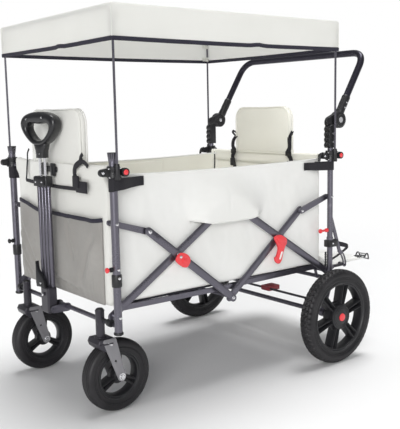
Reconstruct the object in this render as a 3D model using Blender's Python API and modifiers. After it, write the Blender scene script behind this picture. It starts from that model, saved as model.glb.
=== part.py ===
"""Folding wagon: scissor frame, fabric tub, canopy, pull handle and push handle.

Metres, +Z up. X runs along the wagon, from the pull handle (front, -X) to the push handle (rear, +X).
The left side is -Y. The origin is under the middle of the wagon, on the ground.
"""
from math import atan2, cos, pi, radians, sin

import bmesh
import bpy
from mathutils import Matrix, Vector

# Main places
REAR_POST_X = 0.3155
POST_Y = 0.2995
GAP = 0.0003
SIDES = {"left": -1, "right": 1}

# Scissor sides
PIVOT_Z = 0.281
POST_BAR_ANGLE = radians(33.0)
CENTRE_BAR_ANGLE = radians(38.5)
POST_ARM = 0.248
CENTRE_ARM = 0.2485
LINK_ARM = 0.118
BAR_HEIGHT = 0.019
BAR_THICKNESS = 0.0085
BAR_OVERRUN = 0.004
OUTER_BAR_Y = 0.28375
INNER_BAR_Y = 0.27425
LINK_POST_Z = 0.525
PIN_RADIUS = 0.004
RIVET_RADIUS = 0.0055
CROSS_TUBE_RADIUS = 0.005
LINK_HEIGHT = 0.015

# Posts and cross tubes
FRONT_POST_RADIUS = 0.0105
REAR_POST_RADIUS = 0.009
FRONT_POST_BOTTOM = 0.237
FRONT_POST_TOP = 0.705
REAR_POST_BOTTOM = 0.268
REAR_POST_TOP = 0.720
CROSSBAR_Z = 0.257
CROSSBAR_RADIUS = 0.0065
RIM_TUBE_Z = 0.650
RIM_TUBE_RADIUS = 0.006
POST_CAP_FLARE = 0.003
POST_CAP_HEIGHT = 0.016
COLLAR_Z = 0.378
COLLAR_HEIGHT = 0.032
COLLAR_WALL = 0.0018

# Rear wheels, axle and brake
REAR_WHEEL_RADIUS = 0.150
REAR_WHEEL_WIDTH = 0.045
REAR_WHEEL_STEPS = 40
REAR_WHEEL_Y = 0.3555
REAR_RIM_RADIUS = 0.112
REAR_WINDOW_RADIUS = 0.102
REAR_BOSS_RADIUS = 0.041
REAR_SPOKES = 6
REAR_AXLE_AHEAD = 0.030
AXLE_RADIUS = 0.0075
AXLE_STUB_RADIUS = 0.0055
BRAKE_SHIFT = 0.030
BRAKE_Z = 0.172
BRAKE_RADIUS = 0.004
BRAKE_INSET = 0.006
BRAKE_HALF_WIDTH = REAR_WHEEL_Y - REAR_WHEEL_WIDTH / 2 - BRAKE_INSET
PEDAL_LENGTH = 0.048
PEDAL_WIDTH = 0.046

# Casters
CASTER_RADIUS = 0.100
CASTER_WIDTH = 0.045
CASTER_STEPS = 32
CASTER_Y = 0.2215
CASTER_RIM_RADIUS = 0.066
CASTER_WINDOW_RADIUS = 0.058
CASTER_BOSS_RADIUS = 0.020
CASTER_SPOKES = 3
CASTER_TRAIL = 0.044
STEM_AHEAD = 0.009
STEM_TUBE_RADIUS = 0.0115
STEM_RADIUS = 0.007
STEM_BOTTOM = 0.213
STEM_TOP = 0.288
FORK_GAP = 0.005
FORK_PLATE = 0.003
CROWN_HEIGHT = 0.036
CROWN_FRONT = 0.037

# Pull handle
PULL_AHEAD = 0.044
PULL_PIVOT_Z = 0.2545
PULL_TURN = radians(15.0)
YOKE_WIDTH = 0.046
YOKE_DEPTH = 0.030
YOKE_TOP = 0.318
CHEEK = 0.004
SHAFT_TOP = 0.632
SHAFT_RIB_OVERLAP = 0.0016
SHAFT_RIB_PITCH = 0.0098
SHAFT_RIBS = 4
SHAFT_DEPTH = 0.019
COLLAR_HEIGHT_PULL = 0.027
SLIDE_TUBE_RADIUS = 0.0042
SLIDE_TUBE_BOTTOM = 0.380
GRIP_BOTTOM = 0.684
GRIP_TOP = 0.812
GRIP_WIDTH = 0.130
GRIP_DEPTH = 0.032

# Push handle
HUB_BACK = 0.036
HUB_Z = 0.768
HUB_RADIUS = 0.026
HUB_INNER_Y = 0.2855
HUB_SPLIT_Y = 0.3005
HUB_OUTER_Y = 0.3100
PUSH_ANGLE = radians(57.8)
PUSH_LENGTH = 0.255
PUSH_TUBE_RADIUS = 0.011
PUSH_TUBE_Y = 0.2925
PUSH_BEND = 0.055
SLEEVE_BOTTOM = 0.680
SLEEVE_DROP = 0.020
SLEEVE_TOP = HUB_Z - SLEEVE_DROP
SLEEVE_HALF = 0.0135
SLEEVE_SCALLOPS = 4
SCALLOP_DEPTH = 0.002
BUTTON_RADIUS = 0.009

# Canopy and its poles
POLE_RADIUS = 0.0032
POLE_Y = 0.3168
POLE_SHIFT = 0.002
POLE_BOTTOM = 0.640
POLE_BEND = 0.030
CANOPY_TOP = 1.071
CANOPY_DROP = 0.090
CANOPY_WALL = 0.0025
CLAMP_Z = 0.657
CLAMP_HEIGHT = 0.030
CLAMP_RADIUS = 0.0155
LUG_LENGTH = 0.034
KNOB_RADIUS = 0.0125
KNOB_LENGTH = 0.014
KNOB_REACH = 0.0222
KNOB_ROOT_Y = 0.3120

# Fabric
TUB_HALF_WIDTH = 0.268
FABRIC = 0.004
TUB_FLOOR_Z = 0.302
TUB_RIM_Z = 0.655
PANEL_TOP = 0.6435
REAR_PANEL_INSET = 0.008
POCKET_TOP = 0.535
POCKET_BULGE = 0.020
POCKET_HALF_WIDTH = 0.245
SLEEVE_Y = 0.2925
SLEEVE_HALF_LENGTH = 0.105
SLEEVE_SLIT_Z = 0.490
SEAT_WIDTH = 0.290
REAR_SEAT_WIDTH = 0.268
SEAT_TOP = 0.815
SEAT_THICKNESS = 0.028
SEAT_BOTTOM = 0.500
SEAT_CORNER = 0.045

# Floor halves
RAIL_Z = 0.290
RAIL_HEIGHT = 0.014
RAIL_THICKNESS = 0.0065
FRONT_RAIL_Y = 0.2640
REAR_RAIL_Y = 0.2565
BOARD_THICKNESS = 0.004
BOARD_SHORT = 0.046
FLOOR_HINGE_SHIFT = 0.020
FLOOR_HINGE_Z = 0.2935
HINGE_PLATE = 0.003

# Rear basket
BASKET_PIVOT_BACK = 0.0215
BASKET_PIVOT_Z = 0.290
BASKET_REACH = 0.086
BASKET_ARM_Y = 0.2835
BASKET_TUBE_RADIUS = 0.005
BRACE_TOP_Z = 0.484
BRACE_Y = 0.291
BRACE_HALF_WIDTH = 0.0068
BRACE_SLOT_RADIUS = 0.0605
BASKET_LIFT = radians(38.0)
BASKET_PIN_RADIUS = 0.003
BAG_HALF_WIDTH = 0.262
BAG_RISE = 0.036
BAG_END_RISE = 0.034
BAG_FALL = 0.022
BAG_TIP_RISE = 0.006
BAG_SKIN = 0.004
BAG_MOUTH_ROOM = 0.08
BAG_TIP_REACH = 0.250

# Latches
HOOK_LENGTH = 0.072
HOOK_SHIFT = 0.022
LATCH_Y = 0.2935
LATCH_THICKNESS = 0.007
STOP_PIN_Z = 0.408
REAR_PIN_Z = 0.417
STOP_PIN_LENGTH = 0.024
STOP_PIN_Y = POST_Y - 0.003

GUNMETAL = (0.105, 0.100, 0.130), 0.42, 0.85
STEEL = (0.42, 0.42, 0.45), 0.32, 0.95
BLACK = (0.022, 0.022, 0.026), 0.50, 0.0
RUBBER = (0.040, 0.037, 0.040), 0.72, 0.0
RED = (0.80, 0.060, 0.070), 0.38, 0.0
CREAM = (0.86, 0.86, 0.82), 0.90, 0.0
GREY_NYLON = (0.30, 0.285, 0.265), 0.80, 0.0

# Pivots of the scissor, worked out from its arms
POST_REACH = POST_ARM * cos(POST_BAR_ANGLE)
CENTRE_REACH = CENTRE_ARM * cos(CENTRE_BAR_ANGLE)
HALF_SPAN = POST_REACH + CENTRE_REACH
CENTRE_X = REAR_POST_X - HALF_SPAN
FRONT_POST_X = CENTRE_X - HALF_SPAN
SHAFT_RIB_RADIUS = SHAFT_RIB_PITCH / 2 + SHAFT_RIB_OVERLAP
SLIDE_TUBE_SPACING = SHAFT_RIB_PITCH * 2
CROSS_Z = PIVOT_Z + POST_ARM * sin(POST_BAR_ANGLE)
CENTRE_LOW_Z = CROSS_Z - CENTRE_ARM * sin(CENTRE_BAR_ANGLE)
CENTRE_HIGH_Z = CROSS_Z + CENTRE_REACH * sin(POST_BAR_ANGLE) / cos(POST_BAR_ANGLE)
LINK_REACH = LINK_ARM * cos(CENTRE_BAR_ANGLE)
LINK_Z = CROSS_Z + LINK_ARM * sin(CENTRE_BAR_ANGLE)

REAR_AXLE_X = REAR_POST_X - REAR_AXLE_AHEAD
REAR_AXLE_Z = REAR_WHEEL_RADIUS
BRAKE_X = REAR_AXLE_X + BRAKE_SHIFT
STEM_X = FRONT_POST_X - STEM_AHEAD
CASTER_X = STEM_X + CASTER_TRAIL
PULL_X = FRONT_POST_X - PULL_AHEAD
HUB_X = REAR_POST_X + HUB_BACK
BASKET_PIVOT_X = REAR_POST_X + BASKET_PIVOT_BACK
BASKET_END_X = REAR_POST_X + BASKET_REACH

parts = bpy.data.collections.new("folding_wagon")
cutters = bpy.data.collections.new("cutters")


def clear_scene():
    for old in list(bpy.data.objects):
        bpy.data.objects.remove(old, do_unlink=True)
    for group in (parts, cutters):
        bpy.context.scene.collection.children.link(group)


def new_object(name, mesh, group):
    made = bpy.data.objects.new(name, mesh)
    group.objects.link(made)
    return made


def evaluated_mesh(source):
    """The mesh that an object gives with its modifiers, in world space and with its seams welded."""
    bpy.context.view_layer.update()
    seen = source.evaluated_get(bpy.context.evaluated_depsgraph_get())
    mesh = bpy.data.meshes.new_from_object(seen)
    mesh.transform(source.matrix_world)
    work = bmesh.new()
    work.from_mesh(mesh)
    bmesh.ops.remove_doubles(work, verts=work.verts, dist=0.000004)
    bmesh.ops.dissolve_degenerate(work, edges=work.edges, dist=0.000002)
    bmesh.ops.holes_fill(work, edges=[edge for edge in work.edges if edge.is_boundary], sides=6)
    bmesh.ops.recalc_face_normals(work, faces=work.faces)
    work.to_mesh(mesh)
    work.free()
    return mesh


def baked(source):
    """A plain mesh object in the place of a curve or of an object with modifiers."""
    mesh = evaluated_mesh(source)
    bpy.data.objects.remove(source, do_unlink=True)
    return new_object("piece", mesh, parts)


def block(low, high, bevel=0.0):
    """A box between two corners, with its edges rounded where bevel is given."""
    low, high = Vector(low), Vector(high)
    work = bmesh.new()
    bmesh.ops.create_cube(work, size=1.0)
    bmesh.ops.scale(work, vec=high - low, verts=work.verts)
    bmesh.ops.translate(work, vec=(low + high) / 2, verts=work.verts)
    if bevel:
        bmesh.ops.bevel(work, geom=work.edges[:], offset=bevel, segments=2, profile=0.5, affect="EDGES")
    mesh = bpy.data.meshes.new("block")
    work.to_mesh(mesh)
    work.free()
    return new_object("piece", mesh, parts)


def rod(start, end, radius, end_radius=None, sides=12):
    """A round rod, or a cone where the end has its own radius."""
    start, end = Vector(start), Vector(end)
    work = bmesh.new()
    bmesh.ops.create_cone(work, cap_ends=True, segments=sides, radius1=radius,
                          radius2=radius if end_radius is None else end_radius, depth=(end - start).length)
    turn = (end - start).to_track_quat("Z", "Y").to_matrix().to_4x4()
    bmesh.ops.transform(work, matrix=Matrix.Translation((start + end) / 2) @ turn, verts=work.verts)
    mesh = bpy.data.meshes.new("rod")
    work.to_mesh(mesh)
    work.free()
    return new_object("piece", mesh, parts)


def rounded_route(points, bend, steps=5):
    """The route through the points, with each inner corner turned on an arc that starts bend before it."""
    route = [Vector(points[0])]
    for before, corner, after in zip(points, points[1:], points[2:]):
        corner = Vector(corner)
        start = corner + (Vector(before) - corner).normalized() * bend
        end = corner + (Vector(after) - corner).normalized() * bend
        for step in range(steps + 1):
            t = step / steps
            route.append(start * (1 - t) ** 2 + corner * 2 * t * (1 - t) + end * t ** 2)
    route.append(Vector(points[-1]))
    return route


def tube(points, radius, bend=0.0, resolution=3):
    """A bent round tube along a route."""
    route = rounded_route(points, bend) if bend else [Vector(point) for point in points]
    curve = bpy.data.curves.new("tube", "CURVE")
    curve.dimensions = "3D"
    curve.bevel_depth = radius
    curve.bevel_resolution = resolution
    curve.use_fill_caps = True
    spline = curve.splines.new("POLY")
    spline.points.add(len(route) - 1)
    for place, point in zip(spline.points, route):
        place.co = (*point, 1.0)
    return baked(new_object("tube", curve, parts))


def plate(outlines, thickness, plane, middle):
    """A flat piece cut to an outline, with any further outlines as its holes.

    plane is the pair of axes that the outline lies in, and middle its place along the third.
    """
    curve = bpy.data.curves.new("plate", "CURVE")
    curve.dimensions = "2D"
    curve.fill_mode = "BOTH"
    curve.extrude = thickness / 2
    for outline in outlines:
        spline = curve.splines.new("POLY")
        spline.points.add(len(outline) - 1)
        spline.use_cyclic_u = True
        for place, point in zip(spline.points, outline):
            place.co = (*point, 0.0, 1.0)
    made = new_object("plate", curve, parts)
    columns = {"XZ": ((1, 0, 0), (0, 0, 1), (0, -1, 0)), "YZ": ((0, 1, 0), (0, 0, 1), (1, 0, 0)),
               "XY": ((1, 0, 0), (0, 1, 0), (0, 0, 1))}[plane]
    turn = Matrix(columns).transposed().to_4x4()
    offset = Vector((0, 0, middle)) if plane != "XZ" else Vector((0, 0, -middle))
    made.matrix_world = turn @ Matrix.Translation(offset)
    return baked(made)


def circle(centre, radius, sides=16, start=0.0):
    return [(centre[0] + radius * cos(start + 2 * pi * k / sides),
             centre[1] + radius * sin(start + 2 * pi * k / sides))
            for k in range(sides)]


def capsule(start, end, radius, end_radius=None, steps=6):
    """An outline with a round end about each of two points."""
    end_radius = radius if end_radius is None else end_radius
    way = atan2(end[1] - start[1], end[0] - start[0])
    outline = []
    for centre, size, first in ((end, end_radius, way - pi / 2), (start, radius, way + pi / 2)):
        outline += [(centre[0] + size * cos(first + pi * k / steps),
                     centre[1] + size * sin(first + pi * k / steps))
                    for k in range(steps + 1)]
    return outline


def band(centre, radius, start, end, half, steps=5):
    """An outline that follows an arc at an even width, with round ends."""
    outline = []
    for size, angles in ((radius + half, range(steps + 1)), (radius - half, range(steps, -1, -1))):
        outline += [(centre[0] + size * cos(start + (end - start) * k / steps),
                     centre[1] + size * sin(start + (end - start) * k / steps)) for k in angles]
        tip = end if size > radius else start
        middle = (centre[0] + radius * cos(tip), centre[1] + radius * sin(tip))
        first = tip if size > radius else tip + pi
        outline += [(middle[0] + half * cos(first + pi * k / 5), middle[1] + half * sin(first + pi * k / 5))
                    for k in range(1, 5)]
    return outline


def turned(profile, centre, steps, closed=True):
    """A ring or a round solid turned about an axis along Y; the profile is (radius, place along the axis)."""
    mesh = bpy.data.meshes.new("profile")
    edges = [(k, k + 1) for k in range(len(profile) - 1)] + ([(len(profile) - 1, 0)] if closed else [])
    mesh.from_pydata([(radius, 0.0, along) for radius, along in profile], edges, [])
    made = new_object("turned", mesh, parts)
    screw = made.modifiers.new("turn", "SCREW")
    screw.steps = screw.render_steps = steps
    screw.use_merge_vertices = True
    screw.merge_threshold = 0.00005
    made.matrix_world = Matrix.Translation(centre) @ Matrix.Rotation(-pi / 2, 4, "X")
    return baked(made)


def fuse(name, pieces, material, smooth=35.0):
    """One solid from pieces that overlap, named and painted."""
    base = pieces[0]
    for piece in pieces[1:]:
        union = base.modifiers.new("join", "BOOLEAN")
        union.operation = "UNION"
        union.object = piece
    made = baked(base)
    for piece in pieces[1:]:
        bpy.data.objects.remove(piece, do_unlink=True)
    made.name = made.data.name = name
    made.data.shade_smooth()
    made.data.set_sharp_from_angle(angle=radians(smooth))
    paint(made, name, material)
    return made


def cut(target, tools):
    """Leaves each tool as a cutter on the target."""
    for tool in tools:
        parts.objects.unlink(tool)
        cutters.objects.link(tool)
        tool.name = target.name + "_cutter"
        tool.hide_render = True
        tool.display_type = "WIRE"
        tool.parent = target
        hole = target.modifiers.new("cut", "BOOLEAN")
        hole.operation = "DIFFERENCE"
        hole.object = tool
    return target


def paint(target, name, material):
    colour, roughness, metallic = material
    finish = bpy.data.materials.new(name)
    finish.use_nodes = True
    shader = finish.node_tree.nodes["Principled BSDF"]
    shader.inputs["Base Color"].default_value = (*colour, 1.0)
    shader.inputs["Roughness"].default_value = roughness
    shader.inputs["Metallic"].default_value = metallic
    target.data.materials.clear()
    target.data.materials.append(finish)


def pivot(name, place, carrier=None):
    """An empty on a joint's axis, carried by another body's empty."""
    made = bpy.data.objects.new(name, None)
    made.empty_display_size = 0.02
    made["place"] = Vector(place)
    made.location = Vector(place) - (Vector(carrier["place"]) if carrier else Vector())
    made.parent = carrier
    parts.objects.link(made)
    return made


def carry(body, *pieces):
    """Hangs finished pieces on a body's empty, where they stand."""
    for piece in pieces:
        piece.parent = body
        piece.matrix_parent_inverse = Matrix.Translation(-Vector(body["place"]))


def across(side, near, far):
    """The two y values of a piece on one side, lower first."""
    return sorted((side * near, side * far))


def ring_rod(side, x, z, near, far, radius, sides=12):
    """A pin along Y between two distances from the middle plane."""
    return rod((x, side * near, z), (x, side * far, z), radius, sides=sides)


def scissor_bar(start, end, layer, side, holes=(), rivets=()):
    """One flat-sided bar of a scissor, with holes for pins and rivet heads on its outer face."""
    way = Vector((end[0] - start[0], end[1] - start[1])).normalized() * BAR_OVERRUN
    ends = (start[0] - way.x, start[1] - way.y), (end[0] + way.x, end[1] + way.y)
    outlines = [capsule(*ends, BAR_HEIGHT / 2)] + [circle(place, radius, 12) for place, radius in holes]
    pieces = [plate(outlines, BAR_THICKNESS, "XZ", side * layer)]
    face = layer + BAR_THICKNESS / 2
    pieces += [ring_rod(side, x, z, face - 0.001, face + 0.0024, RIVET_RADIUS) for x, z in rivets]
    return pieces


def wheel_disc(centre, rim, window, boss, spokes, width, bore, steps):
    """A moulded wheel: rim, paired spokes with a slot between the two of a pair, and a boss."""
    turn = 2 * pi / spokes
    inner = boss + 0.002
    outlines = [circle((0, 0), rim - 0.003, 30), circle((0, 0), bore, 12)]
    for k in range(spokes):
        middle = k * turn
        spread_out = turn / 2 - 0.017 / window
        spread_in = max(turn / 2 - 0.015 / inner, 0.05)
        arc = [(window * cos(middle + spread_out * (t / 2 - 1)),
                window * sin(middle + spread_out * (t / 2 - 1)))
               for t in range(5)]
        root = [(inner * cos(middle + spread_in * t), inner * sin(middle + spread_in * t)) for t in (1, -1)]
        outlines.append(arc + root)
        spoke = middle + turn / 2
        along, over = Vector((cos(spoke), sin(spoke))), Vector((-sin(spoke), cos(spoke))) * 0.0022
        outlines.append([tuple(along * reach + over * way)
                         for reach, way in ((inner + 0.006, -1), (window - 0.008, -1), (window - 0.008, 1),
                                            (inner + 0.006, 1))])
    disc = plate(outlines, width * 0.50, "XZ", 0.0)
    disc.matrix_world = Matrix.Translation(centre)
    lip = width / 2 - 0.002
    rim_ring = turned([(rim, lip), (rim, -lip), (rim - 0.006, -lip), (rim - 0.007, 0), (rim - 0.006, lip)],
                      centre, steps)
    hub = turned([(boss, lip * 0.7), (boss, -lip * 0.7), (boss * 0.8, -lip - 0.001), (bore, -lip - 0.001),
                  (bore, lip + 0.001), (boss * 0.8, lip + 0.001)], centre, 16)
    return [disc, rim_ring, hub]


def tyre(centre, radius, rim, width, steps):
    """A solid tyre with a crowned tread and rounded shoulders."""
    half = width / 2
    sidewall = radius - rim
    profile = [(radius, half * 0.45), (radius, -half * 0.45), (radius - sidewall * 0.35, -half),
               (rim + GAP, -half * 0.84), (rim + GAP, half * 0.84), (radius - sidewall * 0.35, half)]
    return turned(profile, centre, steps)


def front_frame(body):
    """Welded front frame: posts, cross tubes, caster stems and the pull handle's bracket."""
    x = FRONT_POST_X
    pieces = [rod((x, -POST_Y, CROSSBAR_Z), (x, POST_Y, CROSSBAR_Z), CROSSBAR_RADIUS),
              rod((x, -POST_Y, RIM_TUBE_Z), (x, POST_Y, RIM_TUBE_Z), RIM_TUBE_RADIUS)]
    bores = []
    for side in SIDES.values():
        y = side * POST_Y
        pieces += post(x, y, FRONT_POST_RADIUS, FRONT_POST_BOTTOM, FRONT_POST_TOP - POST_CAP_HEIGHT)
        pieces.append(rod((x, y, FRONT_POST_TOP - POST_CAP_HEIGHT - 0.004), (x, y, FRONT_POST_TOP),
                          FRONT_POST_RADIUS + 0.0005, FRONT_POST_RADIUS + POST_CAP_FLARE, 16))
        pieces += post_rivets(side, x, FRONT_POST_RADIUS)
        stem_y = side * CASTER_Y
        pieces.append(rod((STEM_X, stem_y, STEM_BOTTOM), (STEM_X, stem_y, STEM_TOP), STEM_TUBE_RADIUS,
                          sides=16))
        bores.append(rod((STEM_X, stem_y, STEM_BOTTOM - 0.01), (STEM_X, stem_y, STEM_TOP - 0.004),
                         STEM_RADIUS + GAP, sides=12))
        cheek_y = side * (YOKE_WIDTH / 2 + GAP + CHEEK / 2)
        pieces.append(plate([capsule((x, PULL_PIVOT_Z), (PULL_X, PULL_PIVOT_Z), 0.012, 0.011)], CHEEK, "XZ",
                            cheek_y))
    pin_end = YOKE_WIDTH / 2 + CHEEK + 0.003
    pieces.append(rod((PULL_X, -pin_end, PULL_PIVOT_Z), (PULL_X, pin_end, PULL_PIVOT_Z), PIN_RADIUS,
                      sides=12))
    pieces += floor_brackets(x, 1, FRONT_RAIL_Y)
    frame = fuse("front_frame", pieces, GUNMETAL)
    cut(frame, bores)
    carry(body, frame)


def post(x, y, radius, bottom, top):
    """A post with the stop collar that the frame's latch works on."""
    return [rod((x, y, bottom), (x, y, top), radius, sides=14),
            rod((x, y, COLLAR_Z - COLLAR_HEIGHT / 2), (x, y, COLLAR_Z + COLLAR_HEIGHT / 2),
                radius + COLLAR_WALL, sides=14)]


def post_rivets(side, x, radius):
    """Rivet heads on a post's outer face, at the bar's pivot and at the link's pivot."""
    face = POST_Y + radius
    return [ring_rod(side, x, z, face - 0.003, face + 0.0012, PIN_RADIUS, 10) for z in (PIVOT_Z,
                                                                                        LINK_POST_Z)]


def rear_frame(body):
    """Welded rear frame: posts, cross tubes, axle legs, brackets and the slotted basket braces."""
    x = REAR_POST_X
    pieces = [rod((x, -POST_Y, CROSSBAR_Z), (x, POST_Y, CROSSBAR_Z), CROSSBAR_RADIUS),
              rod((x, -POST_Y, RIM_TUBE_Z), (x, POST_Y, RIM_TUBE_Z), RIM_TUBE_RADIUS)]
    for side in SIDES.values():
        y = side * POST_Y
        pieces += post(x, y, REAR_POST_RADIUS, REAR_POST_BOTTOM, REAR_POST_TOP)
        pieces += post_rivets(side, x, REAR_POST_RADIUS)
        pieces.append(tube([(x, y, REAR_POST_BOTTOM + 0.02), (x, y, REAR_POST_BOTTOM - 0.03),
                            (REAR_AXLE_X, y, REAR_AXLE_Z + AXLE_RADIUS + 0.003)], REAR_POST_RADIUS, 0.02,
                            2))
        pieces.append(ring_rod(side, REAR_AXLE_X, REAR_AXLE_Z, POST_Y - REAR_POST_RADIUS,
                               POST_Y + REAR_POST_RADIUS, AXLE_RADIUS + 0.006, 20))
        brake_y = side * (POST_Y - REAR_POST_RADIUS + 0.001)
        pieces.append(plate([capsule((REAR_AXLE_X + 0.007, BRAKE_Z), (BRAKE_X, BRAKE_Z), 0.007, 0.0085),
                             circle((BRAKE_X, BRAKE_Z), BRAKE_RADIUS + GAP, 12)], 0.004, "XZ", brake_y))
        foot = (BASKET_PIVOT_X, BASKET_PIVOT_Z)
        pieces.append(plate([capsule((x, BASKET_PIVOT_Z), foot, 0.008, 0.007),
                             circle(foot, BASKET_PIN_RADIUS + GAP, 10)],
                            0.004, "XZ", side * BRACE_Y))
        brace_end = BASKET_LIFT + radians(17)
        joint = (foot[0] + BRACE_SLOT_RADIUS * cos(brace_end), foot[1] + BRACE_SLOT_RADIUS * sin(brace_end))
        pieces.append(plate([capsule((x + 0.004, BRACE_TOP_Z), joint, 0.006)], 0.0044, "XZ",
                            side * BRACE_Y))
        pieces.append(plate([band(foot, BRACE_SLOT_RADIUS, 0.0, brace_end + 0.02, BRACE_HALF_WIDTH),
                             band(foot, BRACE_SLOT_RADIUS, 0.0, BASKET_LIFT, BASKET_PIN_RADIUS + 0.0004)],
                            0.004, "XZ", side * BRACE_Y))
    pieces += floor_brackets(x, -1, REAR_RAIL_Y)
    reach = REAR_WHEEL_Y + REAR_WHEEL_WIDTH / 2 - 0.005
    y = POST_Y + REAR_POST_RADIUS + 0.006
    pieces += [rod((REAR_AXLE_X, -y, REAR_AXLE_Z), (REAR_AXLE_X, y, REAR_AXLE_Z), AXLE_RADIUS),
               rod((REAR_AXLE_X, -reach, REAR_AXLE_Z), (REAR_AXLE_X, reach, REAR_AXLE_Z), AXLE_STUB_RADIUS)]
    carry(body, fuse("rear_frame", pieces, GUNMETAL))


def scissor_bars(bodies):
    """The four sets of bars. Sets that share a cross tube are one welded piece."""
    rear_cross = (REAR_POST_X - POST_REACH, CROSS_Z)
    front_cross = (FRONT_POST_X + POST_REACH, CROSS_Z)
    low, high = (CENTRE_X, CENTRE_LOW_Z), (CENTRE_X, CENTRE_HIGH_Z)
    rear_link = (rear_cross[0] + LINK_REACH, LINK_Z)
    front_link = (front_cross[0] - LINK_REACH, LINK_Z)
    rear_pivot, front_pivot = (REAR_POST_X, PIVOT_Z), (FRONT_POST_X, PIVOT_Z)
    pin_hole = PIN_RADIUS + GAP
    inner_face = INNER_BAR_Y - BAR_THICKNESS / 2

    def cross_pins(place, side, near, far):
        return ring_rod(side, *place, near, far, PIN_RADIUS)

    rear_post_bars, front_centre_bars = [], []
    for name, side in SIDES.items():
        rear_post_bars += scissor_bar(rear_pivot, high, OUTER_BAR_Y, side, rivets=[rear_cross])
        rear_post_bars.append(cross_pins(rear_cross, side, inner_face - 0.0005, OUTER_BAR_Y))
        rear_post_bars.append(ring_rod(side, *rear_pivot, OUTER_BAR_Y, BRACE_Y - 0.0025, PIN_RADIUS))
        rear_centre = scissor_bar(low, rear_link, INNER_BAR_Y, side,
                                  holes=[(rear_cross, pin_hole), (low, CROSS_TUBE_RADIUS + GAP)])
        carry(bodies["rear_centre_bars"], fuse("rear_centre_bar_" + name, rear_centre, GUNMETAL))
        front_centre_bars += scissor_bar(low, front_link, OUTER_BAR_Y, side,
                                         rivets=[low, front_cross, front_link])
        front_centre_bars.append(cross_pins(front_cross, side, inner_face - 0.0005, OUTER_BAR_Y))
        front_post = scissor_bar(front_pivot, high, INNER_BAR_Y, side, holes=[(front_cross, pin_hole)])
        front_post.append(ring_rod(side, *front_pivot, INNER_BAR_Y, POST_Y - FRONT_POST_RADIUS - 0.0004,
                                   PIN_RADIUS))
        carry(bodies["front_post_bars"], fuse("front_post_bar_" + name, front_post, GUNMETAL))
    for pieces, (x, z) in ((rear_post_bars, rear_pivot), (front_centre_bars, low)):
        pieces.append(rod((x, -OUTER_BAR_Y, z), (x, OUTER_BAR_Y, z), CROSS_TUBE_RADIUS, sides=12))
    carry(bodies["rear_post_bars"], fuse("rear_post_bars", rear_post_bars, GUNMETAL))
    carry(bodies["front_centre_bars"], fuse("front_centre_bars", front_centre_bars, GUNMETAL))


def post_links(bodies):
    """Short links from the posts to the tops of the centre bars, with a plastic fork at the free end."""
    for name, side in SIDES.items():
        for end, post_x, way, layer, radius in (("front", FRONT_POST_X, 1, INNER_BAR_Y, FRONT_POST_RADIUS),
                                                ("rear", REAR_POST_X, -1, OUTER_BAR_Y, REAR_POST_RADIUS)):
            tip = (post_x + way * (POST_REACH - LINK_REACH), LINK_Z)
            root = (post_x, LINK_POST_Z)
            pieces = [plate([capsule(root, tip, LINK_HEIGHT / 2, BAR_HEIGHT / 2 - 0.0005)], BAR_THICKNESS,
                            "XZ",
                            side * layer),
                      ring_rod(side, *root, layer, POST_Y - radius - 0.0004, 0.006)]
            carry(bodies[end + "_links"], fuse(end + "_link_" + name, pieces, GUNMETAL))


def casters(bodies):
    axle_z = CASTER_RADIUS
    for name, side in SIDES.items():
        y = side * CASTER_Y
        centre = Vector((CASTER_X, y, axle_z))
        pieces = [block((STEM_X - CROWN_FRONT, y - 0.031, STEM_BOTTOM - GAP - CROWN_HEIGHT),
                        (STEM_X + 0.029, y + 0.031, STEM_BOTTOM - GAP), 0.006),
                  rod((STEM_X, y, STEM_BOTTOM - 0.01), (STEM_X, y, STEM_TOP - 0.005), STEM_RADIUS)]
        plate_y = CASTER_WIDTH / 2 + FORK_GAP + FORK_PLATE / 2
        for way in (-1, 1):
            pieces.append(plate([capsule((STEM_X + 0.004, STEM_BOTTOM - 0.018), (CASTER_X, axle_z), 0.017,
                                         0.011),
                                 circle((STEM_X + 0.024, STEM_BOTTOM - 0.060), 0.0028, 10)], FORK_PLATE,
                                 "XZ",
                                y + way * plate_y))
            face = plate_y + FORK_PLATE / 2
            pieces.append(rod((CASTER_X, y + way * (face - 0.001), axle_z),
                              (CASTER_X, y + way * (face + 0.004), axle_z),
                              0.0065, sides=12))
        pieces.append(rod(centre - Vector((0, plate_y, 0)), centre + Vector((0, plate_y, 0)),
                          AXLE_STUB_RADIUS,
                          sides=12))
        fork = fuse("caster_fork_" + name, pieces, GUNMETAL)
        room = rod(centre - Vector((0, CASTER_WIDTH / 2 + 0.003, 0)),
                   centre + Vector((0, CASTER_WIDTH / 2 + 0.003, 0)),
                   CASTER_RADIUS + 0.004, sides=28)
        core = rod(centre - Vector((0, 0.03, 0)), centre + Vector((0, 0.03, 0)), CASTER_RADIUS - 0.03,
                   sides=20)
        cut(fork, [fuse("wheel_room", [ring_cut(room, core)], BLACK)])
        carry(bodies["caster_fork_" + name], fork)
        disc = wheel_disc(centre, CASTER_RIM_RADIUS, CASTER_WINDOW_RADIUS, CASTER_BOSS_RADIUS,
                          CASTER_SPOKES,
                          CASTER_WIDTH, AXLE_STUB_RADIUS + GAP, CASTER_STEPS)
        carry(bodies["caster_wheel_" + name], fuse("caster_hub_" + name, disc, BLACK),
              fuse("caster_tyre_" + name, [tyre(centre, CASTER_RADIUS, CASTER_RIM_RADIUS, CASTER_WIDTH,
                                                CASTER_STEPS)],
                   RUBBER))


def ring_cut(outer, inner):
    """A ring from a disc and the core that comes out of it."""
    hole = outer.modifiers.new("core", "BOOLEAN")
    hole.operation = "DIFFERENCE"
    hole.object = inner
    made = baked(outer)
    bpy.data.objects.remove(inner, do_unlink=True)
    return made


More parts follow.
